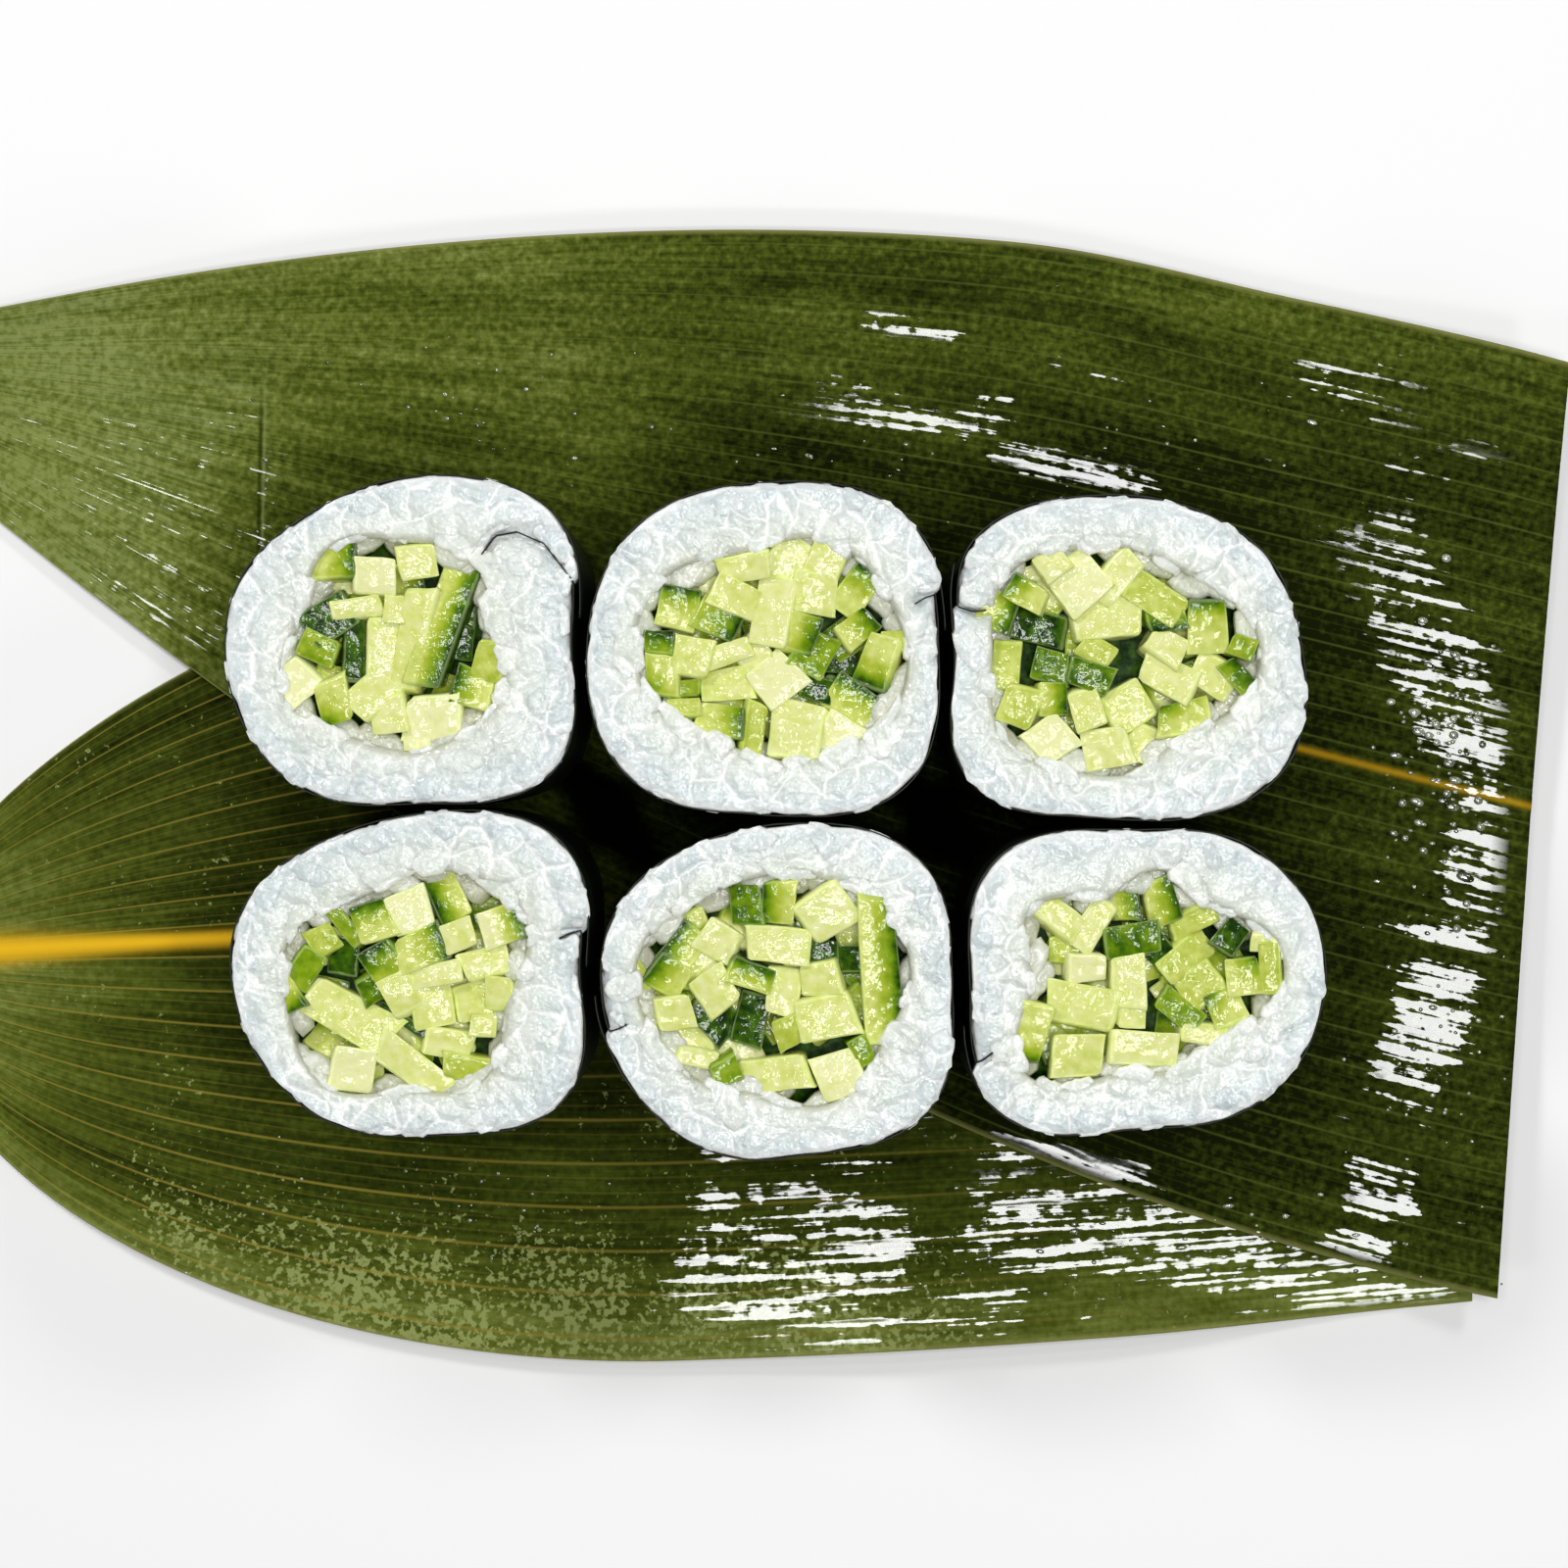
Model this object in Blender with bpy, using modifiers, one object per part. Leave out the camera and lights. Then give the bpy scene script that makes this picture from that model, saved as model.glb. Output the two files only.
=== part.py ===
"""Cucumber maki: six pieces of a sushi roll standing in two rows on two overlapping bamboo leaves.

Every piece is a spiral of nori, a ring of rice and a bundle of cucumber sticks. All three run
through it from the foot to the cut face on top. Lengths below are millimetres, and MM turns
them into Blender's metres. +X is to the right, +Y away from the front edge and +Z up.
"""

import math
import random

import bpy
from mathutils import Vector, noise

MM = 0.001
GAP = 0.3

# The nori: how thick it is, how far its outer end passes the seam, and how gently it steps out
# from under that end, in degrees of turn.
NORI_THICK = 0.3
NORI_LAP = 12
NORI_EASE = 50
NORI_STEP = 12

# The rice ring: how far its top lies under the nori's rim, and how bumpy the grains leave it.
RICE_SEGMENTS = 30
RICE_SINK = 0.25
RICE_BUMP = 0.4
RICE_BUMP_SPACING = 2.6
# Across the ring (0 outside, 1 inside) and up it (0 foot, 1 top), one entry for each corner of
# its section, counted from the outside round over the top.
RICE_SECTION = ((0, 1), (0.25, 1), (0.5, 1), (0.75, 1), (1, 1), (1, 0), (0.5, 0), (0, 0))

# The cucumber: sticks on a turned grid, standing out of a core that closes the gaps low down.
STICK_SIDE = 3.1
STICK_PITCH = 3.7
STICK_TURN = 8
STICK_ROOT = 5.0
CORE_SINK = 2.6
STICK_SINK = 1.7
STICK_RISE = 0.5
OUTLINE_STEP = 15
CUT_MARGIN = 0.05

# The height at which the pieces stand over the lower leaf's underside.
FOOT = 2.15

# One entry a piece: where it stands, how tall it is, where the nori's seam is, the nori's inner
# end as (angle, radius) from the seam inwards, and twelve radii every 30 degrees from +X round
# to the left, for the outside of the nori and for the inside of the rice.
PIECES = (
    {
        "centre": (-33.35, 12.55),
        "height": 30.2,
        "seam": 19.5,
        "inner_end": ((35, 15.0), (44, 13.8), (49, 12.2), (48, 10.2)),
        "nori": (15.4, 17.2, 16.3, 14.5, 14.0, 15.1, 15.9, 16.1, 15.8, 14.5, 16.3, 17.2),
        "filling": (7.9, 8.0, 9.0, 8.4, 9.9, 9.4, 9.6, 11.2, 9.4, 9.4, 9.3, 9.3),
        "stick_turn": 68,
    },
    {
        "centre": (-1.6, 11.85),
        "height": 30.0,
        "seam": 18,
        "inner_end": ((18, 14.7), (17, 13.7)),
        "nori": (15.9, 17.0, 16.4, 14.8, 15.4, 15.9, 15.9, 16.7, 15.9, 14.7, 16.6, 17.1),
        "filling": (12.1, 11.2, 10.6, 8.7, 8.9, 10.8, 11.1, 10.2, 8.7, 9.3, 10.3, 11.9),
        "stick_turn": -22,
    },
    {
        "centre": (30.25, 11.0),
        "height": 29.7,
        "seam": 163,
        "inner_end": ((163, 14.2), (161, 13.2)),
        "nori": (15.6, 15.4, 14.7, 14.5, 16.2, 17.6, 15.4, 17.6, 15.9, 14.3, 15.7, 16.9),
        "filling": (11.3, 10.3, 8.7, 9.3, 10.7, 12.6, 11.6, 12.6, 10.9, 9.8, 8.0, 9.6),
        "stick_turn": -28,
    },
    {
        "centre": (-33.0, -16.65),
        "height": 29.5,
        "seam": 14,
        "inner_end": ((14, 14.6), (13, 13.6)),
        "nori": (15.8, 17.7, 16.4, 14.1, 13.9, 15.5, 15.8, 15.3, 15.0, 14.5, 16.2, 17.7),
        "filling": (9.4, 10.8, 9.6, 8.4, 7.5, 9.6, 10.8, 11.3, 11.8, 10.0, 11.2, 9.2),
        "stick_turn": 18,
    },
    {
        "centre": (-1.0, -18.35),
        "height": 30.4,
        "seam": 193,
        "inner_end": ((193, 14.1), (192, 13.1)),
        "nori": (15.9, 17.3, 16.7, 14.9, 14.9, 15.9, 15.8, 15.1, 15.1, 14.7, 15.7, 17.3),
        "filling": (11.5, 11.8, 10.8, 10.0, 10.0, 11.4, 11.6, 10.4, 9.3, 8.9, 10.7, 10.2),
        "stick_turn": -36,
    },
    {
        "centre": (31.65, -17.35),
        "height": 29.9,
        "seam": 206,
        "inner_end": ((206, 15.7), (205, 14.7)),
        "nori": (16.1, 16.0, 14.8, 13.5, 15.4, 17.0, 15.9, 17.4, 15.7, 13.1, 14.1, 15.4),
        "filling": (11.9, 10.3, 8.6, 9.2, 8.0, 11.4, 9.4, 12.6, 10.0, 7.6, 7.8, 9.0),
        "stick_turn": 12,
    },
)

# The leaves: thin sheets with a raised midrib. The upper one lies across the lower one.
LEAF_THICK = 0.4
LEAF_CELLS_ALONG = 24
LEAF_CELLS_ACROSS = 10
LEAF_CROWDING = 1.5
RIB_RAISE = 0.35
NARROWEST = 0.5

# The upper leaf's midrib passes through a known point with a known slope and bends a little.
# The leaf swells from its tip to its widest place, and its far end is cut off at a slant.
UPPER_TIP_X = -104.0
UPPER_LENGTH = 175.2
UPPER_RIB_POINT = (49.7, 3.3)
UPPER_RIB_SLOPE = -0.255
UPPER_RIB_BEND = 0.00006
UPPER_WIDEST = 0.93
UPPER_SWELL_POWER = 1.04
UPPER_TIP_SHARE = 0.09
UPPER_HALF_BACK = 43.8
UPPER_HALF_FRONT = 47.0
UPPER_BACK_TAPER = 0.035
UPPER_SLANT = 0.075
UPPER_BASE = 1.1
UPPER_EDGE_LIFT = 1.6
UPPER_END_CURL = 3.2

# The lower leaf starts at its stalk. Each half reaches its full width after a run of its own,
# along part of an ellipse raised to a power, and then narrows a little again.
LOWER_STALK_X = -90.0
LOWER_BASE_X = -84.0
LOWER_END_X = 66.0
LOWER_RIB_END_Y = -12.0
LOWER_RIB_BEND = 4.4
LOWER_HALF_BACK = 41.0
LOWER_RUN_BACK = 100.0
LOWER_POWER_BACK = 0.6
LOWER_HALF_FRONT = 42.0
LOWER_RUN_FRONT = 75.0
LOWER_POWER_FRONT = 0.52
LOWER_WIDEST_X = -19.0
LOWER_NARROWING = 0.105
STALK_HALF = 1.25
LOWER_EDGE_LIFT = 1.8
LOWER_HUMP = 1.1

# Colour and roughness of the four materials.
FINISHES = {
    "nori": ((0.012, 0.022, 0.012), 0.55),
    "rice": ((0.80, 0.81, 0.77), 0.45),
    "cucumber": ((0.60, 0.70, 0.25), 0.35),
    "leaf": ((0.07, 0.12, 0.025), 0.35),
}


def clear_scene():
    for thing in list(bpy.data.objects):
        bpy.data.objects.remove(thing)


def new_collection(name):
    collection = bpy.data.collections.new(name)
    bpy.context.scene.collection.children.link(collection)
    return collection


def new_material(name):
    colour, roughness = FINISHES[name]
    material = bpy.data.materials.new(name)
    material.use_nodes = True
    shader = material.node_tree.nodes["Principled BSDF"]
    shader.inputs["Base Color"].default_value = (*colour, 1)
    shader.inputs["Roughness"].default_value = roughness
    return material


def smooth(start, end, value):
    """0 up to start, 1 from end on, and a smooth rise between them. It falls if end is lower."""
    share = min(max((value - start) / (end - start), 0), 1)
    return share * share * (3 - 2 * share)


def on_circle(degrees, radius):
    angle = math.radians(degrees)
    return Vector((radius * math.cos(angle), radius * math.sin(angle)))


def radius_at(radii, degrees):
    """The radius, at an angle, of the smooth closed curve through evenly spaced radii."""
    count = len(radii)
    half = count // 2
    total = 0.0
    for index, radius in enumerate(radii):
        gap = math.radians(degrees - 360 * index / count)
        waves = sum(math.cos(wave * gap) for wave in range(1, half))
        total += radius * (1 + 2 * waves + math.cos(half * gap)) / count
    return total


def closed_outline(radii, inset):
    """Points round the curve through these radii, moved in towards the centre."""
    angles = range(0, 360, OUTLINE_STEP)
    return [on_circle(angle, radius_at(radii, angle) - inset) for angle in angles]


def nori_inset(travelled):
    """How far the nori lies inside its outer outline, this many degrees on from the seam."""
    under_the_lap = NORI_THICK + GAP
    return under_the_lap * (1 - smooth(NORI_LAP, NORI_LAP + NORI_EASE, travelled))


def nori_line(piece):
    """The nori's middle line, from its inner end, out to the seam and clockwise round the rice."""
    points = [on_circle(angle, radius) for angle, radius in reversed(piece["inner_end"])]
    for travelled in range(0, 360 + NORI_LAP + 1, NORI_STEP):
        angle = piece["seam"] - travelled
        radius = radius_at(piece["nori"], angle) - nori_inset(travelled) - NORI_THICK / 2
        points.append(on_circle(angle, radius))
    return points


def slot_line(piece):
    """The middle line of the slot that the nori's inner end needs in the rice, open at the rim."""
    angle, radius = piece["inner_end"][-1]
    points = [on_circle(angle, radius - GAP)]
    points += [on_circle(angle, radius) for angle, radius in reversed(piece["inner_end"])]
    rim = radius_at(piece["nori"], piece["seam"])
    points.append(on_circle(piece["seam"], rim - NORI_THICK - GAP))
    points.append(on_circle(piece["seam"] - NORI_LAP, rim + GAP))
    return points


def strip_outline(line, thickness):
    """The outline of a strip of this thickness whose middle runs along a line of points."""
    left = []
    right = []
    for index, point in enumerate(line):
        before = line[max(index - 1, 0)]
        after = line[min(index + 1, len(line) - 1)]
        along = (after - before).normalized()
        aside = Vector((-along.y, along.x)) * thickness / 2
        left.append(point + aside)
        right.append(point - aside)
    return left + right[::-1]


def prism(name, outline, low, high, place, collection):
    """A flat outline, as a filled 2D curve, extruded from one height to another."""
    curve = bpy.data.curves.new(name, "CURVE")
    curve.dimensions = "2D"
    curve.fill_mode = "BOTH"
    curve.extrude = (high - low) / 2 * MM
    spline = curve.splines.new("POLY")
    spline.points.add(len(outline) - 1)
    for corner, point in zip(spline.points, outline):
        corner.co = (point.x * MM, point.y * MM, 0, 1)
    spline.use_cyclic_u = True
    solid = bpy.data.objects.new(name, curve)
    solid.location = (place[0] * MM, place[1] * MM, (place[2] + (low + high) / 2) * MM)
    collection.objects.link(solid)
    return solid


def as_mesh(solid):
    """Turns a curve object into a mesh, so that a Boolean can use it."""
    bpy.ops.object.select_all(action="DESELECT")
    bpy.context.view_layer.objects.active = solid
    solid.select_set(True)
    bpy.ops.object.convert(target="MESH")
    bpy.ops.object.mode_set(mode="EDIT")
    bpy.ops.mesh.select_all(action="SELECT")
    bpy.ops.mesh.remove_doubles(threshold=0.001 * MM)
    bpy.ops.mesh.normals_make_consistent(inside=False)
    bpy.ops.object.mode_set(mode="OBJECT")
    return bpy.context.object


def into_collection(solid, collection):
    for other in list(solid.users_collection):
        other.objects.unlink(solid)
    collection.objects.link(solid)


def as_cutter(solid):
    solid.hide_render = True
    solid.display_type = "WIRE"


def combine(solid, other, operation):
    """Adds an exact Boolean of the solid with another one."""
    modifier = solid.modifiers.new(f"{operation.title()} {other.name}", "BOOLEAN")
    modifier.operation = operation
    modifier.solver = "EXACT"
    modifier.object = other


def make_nori(name, piece, place, collection):
    outline = strip_outline(nori_line(piece), NORI_THICK)
    return prism(name, outline, 0, piece["height"], place, collection)


def make_rice(name, piece, place, collection, cutters):
    """A torus whose corners move to the ring's section, minus the slot for the nori's end."""
    bpy.ops.mesh.primitive_torus_add(
        major_segments=RICE_SEGMENTS,
        minor_segments=len(RICE_SECTION),
        major_radius=2,
        minor_radius=1,
    )
    ring = bpy.context.object
    ring.name = name
    ring.location = Vector(place) * MM
    into_collection(ring, collection)
    top = piece["height"] - RICE_SINK
    for corner in ring.data.vertices:
        turn = math.degrees(math.atan2(corner.co.y, corner.co.x))
        lean = math.atan2(corner.co.z, math.hypot(corner.co.x, corner.co.y) - 2)
        step = round(lean / (2 * math.pi / len(RICE_SECTION)))
        across, level = RICE_SECTION[step % len(RICE_SECTION)]
        under_nori = NORI_THICK + GAP
        if (piece["seam"] - turn) % 360 < 180:
            under_nori += nori_inset((piece["seam"] - turn) % 360)
        outer = radius_at(piece["nori"], turn) - under_nori
        inner = radius_at(piece["filling"], turn)
        point = on_circle(turn, outer + (inner - outer) * across)
        spot = Vector((place[0] + point.x, place[1] + point.y, 0)) / RICE_BUMP_SPACING
        height = level * (top + RICE_BUMP * noise.noise(spot))
        corner.co = Vector((point.x, point.y, height)) * MM
    ring.data.update()
    slot_width = NORI_THICK + 2 * GAP
    outline = strip_outline(slot_line(piece), slot_width)
    slot = prism(f"{name}_slot", outline, -1, piece["height"] + 1, place, cutters)
    slot = as_mesh(slot)
    as_cutter(slot)
    combine(ring, slot, "DIFFERENCE")
    return ring


def stick_middles(piece):
    """The middles of the sticks' turned grid that lie inside the rice."""
    turn = math.radians(piece["stick_turn"])
    reach = int(max(piece["filling"]) / STICK_PITCH) + 1
    middles = []
    for row in range(-reach, reach + 1):
        for column in range(-reach, reach + 1):
            x = (column * math.cos(turn) - row * math.sin(turn)) * STICK_PITCH
            y = (column * math.sin(turn) + row * math.cos(turn)) * STICK_PITCH
            angle = math.degrees(math.atan2(y, x))
            if math.hypot(x, y) < radius_at(piece["filling"], angle) - GAP:
                middles.append((x, y))
    return middles


def make_sticks(name, piece, seed, place, cutters):
    """The upper ends of the sticks, as one object: each is turned and cut off a little differently."""
    chance = random.Random(seed)
    root = place[2] + piece["height"] - STICK_ROOT
    sticks = []
    for x, y in stick_middles(piece):
        tall = STICK_ROOT + chance.uniform(-STICK_SINK, STICK_RISE)
        twist = piece["stick_turn"] + chance.uniform(-STICK_TURN, STICK_TURN)
        bpy.ops.mesh.primitive_cube_add(size=1)
        stick = bpy.context.object
        stick.scale = Vector((STICK_SIDE, STICK_SIDE, tall)) * MM
        stick.rotation_euler.z = math.radians(twist)
        stick.location = Vector((place[0] + x, place[1] + y, root + tall / 2)) * MM
        sticks.append(stick)
    for stick in sticks:
        stick.select_set(True)
    bpy.ops.object.join()
    joined = bpy.context.object
    joined.name = name
    into_collection(joined, cutters)
    as_cutter(joined)
    return joined


def make_cucumber(name, piece, seed, place, collection, cutters):
    """A core with sticks standing out of it, both kept inside the rice."""
    top = piece["height"]
    inside = closed_outline(piece["filling"], GAP)
    bundle = as_mesh(prism(name, inside, 0, top - CORE_SINK, place, collection))
    edge = closed_outline(piece["filling"], GAP + CUT_MARGIN)
    low = top - STICK_ROOT - 1
    rim = as_mesh(prism(f"{name}_rim", edge, low, top + 2, place, cutters))
    as_cutter(rim)
    sticks = make_sticks(f"{name}_sticks", piece, seed, place, cutters)
    combine(sticks, rim, "INTERSECT")
    combine(bundle, sticks, "UNION")
    return bundle


def upper_rib(x):
    """The line of the upper leaf's midrib, seen from above."""
    away = x - UPPER_RIB_POINT[0]
    return UPPER_RIB_POINT[1] + UPPER_RIB_SLOPE * away + UPPER_RIB_BEND * away * away


def upper_swell(along):
    """The upper leaf's width at a share of its length, as a share of its greatest width."""
    wave = math.sin(math.pi / 2 * along / UPPER_WIDEST) ** UPPER_SWELL_POWER
    return wave * (1 - math.exp(-along / UPPER_TIP_SHARE))


def upper_leaf(along, across):
    """A point on the upper leaf's underside: along from 0 at the tip to 1, across from -1 to 1."""
    x = UPPER_TIP_X + UPPER_LENGTH * along
    half = UPPER_HALF_FRONT
    if across > 0:
        half = UPPER_HALF_BACK * (1 - UPPER_BACK_TAPER * smooth(0.7, 0.86, along))
    aside = across * max(half * upper_swell(along), NARROWEST)
    y = upper_rib(x) + aside
    base = UPPER_BASE * smooth(-100, -58, x)
    rib = RIB_RAISE if across == 0 else 0
    edge = UPPER_EDGE_LIFT * max(across, 0) ** 4 * smooth(0, 0.3, along)
    curl = UPPER_END_CURL * smooth(0.88, 1.02, along) * (0.45 + 0.55 * abs(across))
    return x + UPPER_SLANT * aside, y, base + rib + edge + curl


def lower_rib(x):
    """The line of the lower leaf's midrib, seen from above."""
    share = (LOWER_END_X - x) / (LOWER_END_X - LOWER_BASE_X)
    return LOWER_RIB_END_Y - LOWER_RIB_BEND * share**2


def front_edge_of_upper(x):
    """How far forward the upper leaf reaches at x."""
    level = x + UPPER_SLANT * UPPER_HALF_FRONT
    along = min(max((level - UPPER_TIP_X) / UPPER_LENGTH, 0), 1)
    return upper_rib(level) - UPPER_HALF_FRONT * upper_swell(along)


def lower_half(x, full, run, power):
    """Half the lower leaf's width at x, for a half that is full this far on from its base."""
    short = 1 - min(max((x - LOWER_BASE_X) / run, 0), 1)
    past = max(x - LOWER_WIDEST_X, 0) / (LOWER_END_X - LOWER_WIDEST_X)
    return full * (1 - short**2) ** power * (1 - LOWER_NARROWING * past**2)


def lower_leaf(along, across):
    """A point on the lower leaf's underside: along from 0 at the stalk to 1, across as above."""
    x = LOWER_STALK_X + (LOWER_END_X - LOWER_STALK_X) * along
    if across > 0:
        half = lower_half(x, LOWER_HALF_BACK, LOWER_RUN_BACK, LOWER_POWER_BACK)
    else:
        half = lower_half(x, LOWER_HALF_FRONT, LOWER_RUN_FRONT, LOWER_POWER_FRONT)
    y = lower_rib(x) + across * max(half, STALK_HALF)
    beyond = front_edge_of_upper(x) - y
    hump = LOWER_HUMP * (1 - smooth(22, 36, beyond)) * smooth(-66, -52, x)
    edge = LOWER_EDGE_LIFT * max(-across, 0) ** 5
    rib = RIB_RAISE if across == 0 else 0
    return x, y, (hump + edge) * smooth(2, 14, beyond) + rib


def make_leaf(name, surface, collection):
    """A flat grid laid along a leaf's surface, crowded towards its midrib and then thickened."""
    bpy.ops.mesh.primitive_grid_add(
        x_subdivisions=LEAF_CELLS_ALONG, y_subdivisions=LEAF_CELLS_ACROSS, size=2
    )
    leaf = bpy.context.object
    leaf.name = name
    into_collection(leaf, collection)
    for corner in leaf.data.vertices:
        along = (corner.co.x + 1) / 2
        across = round(corner.co.y, 4)
        across = math.copysign(abs(across) ** LEAF_CROWDING, across)
        corner.co = Vector(surface(along, across)) * MM
    leaf.data.update()
    sheet = leaf.modifiers.new("Thickness", "SOLIDIFY")
    sheet.thickness = LEAF_THICK * MM
    sheet.offset = 1
    return leaf


def paint(solid, material):
    solid.data.materials.clear()
    solid.data.materials.append(material)


def centre_on_origin(nodes, helpers):
    """Moves everything so that the nodes' common box stands on the origin with its middle."""
    bpy.context.view_layer.update()
    graph = bpy.context.evaluated_depsgraph_get()
    corners = []
    for node in nodes:
        solid = node.evaluated_get(graph)
        corners += [solid.matrix_world @ corner.co for corner in solid.to_mesh().vertices]
        solid.to_mesh_clear()
    low = [min(corner[axis] for corner in corners) for axis in range(3)]
    high = [max(corner[axis] for corner in corners) for axis in range(3)]
    shift = Vector((-(low[0] + high[0]) / 2, -(low[1] + high[1]) / 2, -low[2]))
    for thing in nodes + helpers:
        thing.location += shift
    print("moved by", [round(value / MM, 3) for value in shift], "mm")


def main():
    clear_scene()
    food = new_collection("CucumberMakiOnLeaves")
    cutters = new_collection("Cutters")
    materials = {name: new_material(name) for name in FINISHES}
    nodes = []
    for index, piece in enumerate(PIECES, start=1):
        place = (*piece["centre"], FOOT)
        nori = make_nori(f"nori_{index}", piece, place, food)
        rice = make_rice(f"rice_{index}", piece, place, food, cutters)
        cucumber = make_cucumber(f"cucumber_{index}", piece, index, place, food, cutters)
        paint(nori, materials["nori"])
        paint(rice, materials["rice"])
        paint(cucumber, materials["cucumber"])
        nodes += [nori, rice, cucumber]
    for name, surface in (("leaf_lower", lower_leaf), ("leaf_upper", upper_leaf)):
        leaf = make_leaf(name, surface, food)
        paint(leaf, materials["leaf"])
        nodes.append(leaf)
    centre_on_origin(nodes, list(cutters.objects))


main()
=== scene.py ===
# %% [markdown]
# # Cucumber maki on bamboo leaves
#
# Six pieces of a thin cucumber roll stand on two overlapping bamboo leaves. The frame holds plain
# solids at the real size: nori, rice and cucumber for each piece, and the two leaves. This lesson
# dresses them, one kind of thing after another. Lengths are millimetres, and MM turns them into
# Blender's metres.

# %% Load the frame
import math

import bpy
import numpy as np
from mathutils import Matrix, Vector, noise


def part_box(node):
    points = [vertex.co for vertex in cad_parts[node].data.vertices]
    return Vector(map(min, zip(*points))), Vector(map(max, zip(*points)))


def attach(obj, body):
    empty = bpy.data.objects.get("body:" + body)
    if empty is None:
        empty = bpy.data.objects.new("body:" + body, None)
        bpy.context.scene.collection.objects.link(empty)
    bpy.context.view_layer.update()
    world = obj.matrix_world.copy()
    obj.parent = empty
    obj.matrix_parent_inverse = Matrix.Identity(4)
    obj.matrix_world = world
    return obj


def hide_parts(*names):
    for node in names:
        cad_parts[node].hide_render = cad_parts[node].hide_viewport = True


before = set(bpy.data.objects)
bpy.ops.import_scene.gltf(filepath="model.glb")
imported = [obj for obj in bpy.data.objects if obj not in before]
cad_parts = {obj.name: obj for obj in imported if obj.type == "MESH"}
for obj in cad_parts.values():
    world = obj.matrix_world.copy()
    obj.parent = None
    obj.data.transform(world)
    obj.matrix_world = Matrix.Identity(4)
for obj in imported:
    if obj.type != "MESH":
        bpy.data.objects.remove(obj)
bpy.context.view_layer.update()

MM = 0.001


# %% [markdown]
# ## Small helpers
#
# A mesh's corners can be read into one table of numbers, moved there all at once, and written
# back. That is quicker than visiting them one by one, and it keeps every formula short.

# %% Helpers for meshes
def deselect():
    """Leaves object mode with nothing selected, since an operator acts on all that is selected."""
    if bpy.context.mode != "OBJECT":
        bpy.ops.object.mode_set(mode="OBJECT")
    bpy.ops.object.select_all(action="DESELECT")


def points_of(piece):
    """The corners of a piece's mesh, in millimetres, one row each."""
    flat = np.empty(len(piece.data.vertices) * 3, np.float32)
    piece.data.vertices.foreach_get("co", flat)
    return flat.reshape(-1, 3).astype(float) / MM


def move_points(piece, points):
    """Writes corners in millimetres back to a piece's mesh."""
    flat = (np.asarray(points) * MM).astype(np.float32).ravel()
    piece.data.vertices.foreach_set("co", flat)
    piece.data.update()


def note(piece, name, values):
    """Stores one number for each corner under a name that a material can read."""
    layer = piece.data.attributes.new(name, "FLOAT", "POINT")
    layer.data.foreach_set("value", np.asarray(values, np.float32))


def smooth(start, end, value):
    """0 up to start, 1 from end on, and a smooth rise between them. It falls if end is lower."""
    share = np.clip((np.asarray(value, float) - start) / (end - start), 0, 1)
    return share * share * (3 - 2 * share)


def bumps(points, spacing, seed=0.0):
    """Smooth noise from -1 to 1 at each point, with hills about this far apart."""
    spots = np.asarray(points, float) / spacing + seed
    return np.array([noise.noise(Vector(spot)) for spot in spots])


def finish_piece(piece, slot, material, *nodes):
    """Every piece rides on the one body and stands for the plain solids. The slot is not used."""
    piece.data.materials.clear()
    piece.data.materials.append(material)
    for face in piece.data.polygons:
        face.use_smooth = True
    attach(piece, "root")
    if nodes:
        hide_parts(*nodes)


def apply_all(piece):
    deselect()
    piece.select_set(True)
    bpy.context.view_layer.objects.active = piece
    for modifier in list(piece.modifiers):
        bpy.ops.object.modifier_apply(modifier=modifier.name)


def copies_as_one(name, pattern, point_sets):
    """One object that holds a copy of the pattern's mesh for each set of points."""
    count = len(pattern.data.vertices)
    faces = [tuple(face.vertices) for face in pattern.data.polygons]
    joined = []
    for copy in range(len(point_sets)):
        joined += [tuple(corner + copy * count for corner in face) for face in faces]
    mesh = bpy.data.meshes.new(name)
    mesh.from_pydata((np.concatenate(point_sets) * MM).tolist(), [], joined)
    piece = bpy.data.objects.new(name, mesh)
    bpy.context.scene.collection.objects.link(piece)
    return piece


def remove(piece):
    bpy.data.objects.remove(piece)
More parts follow.
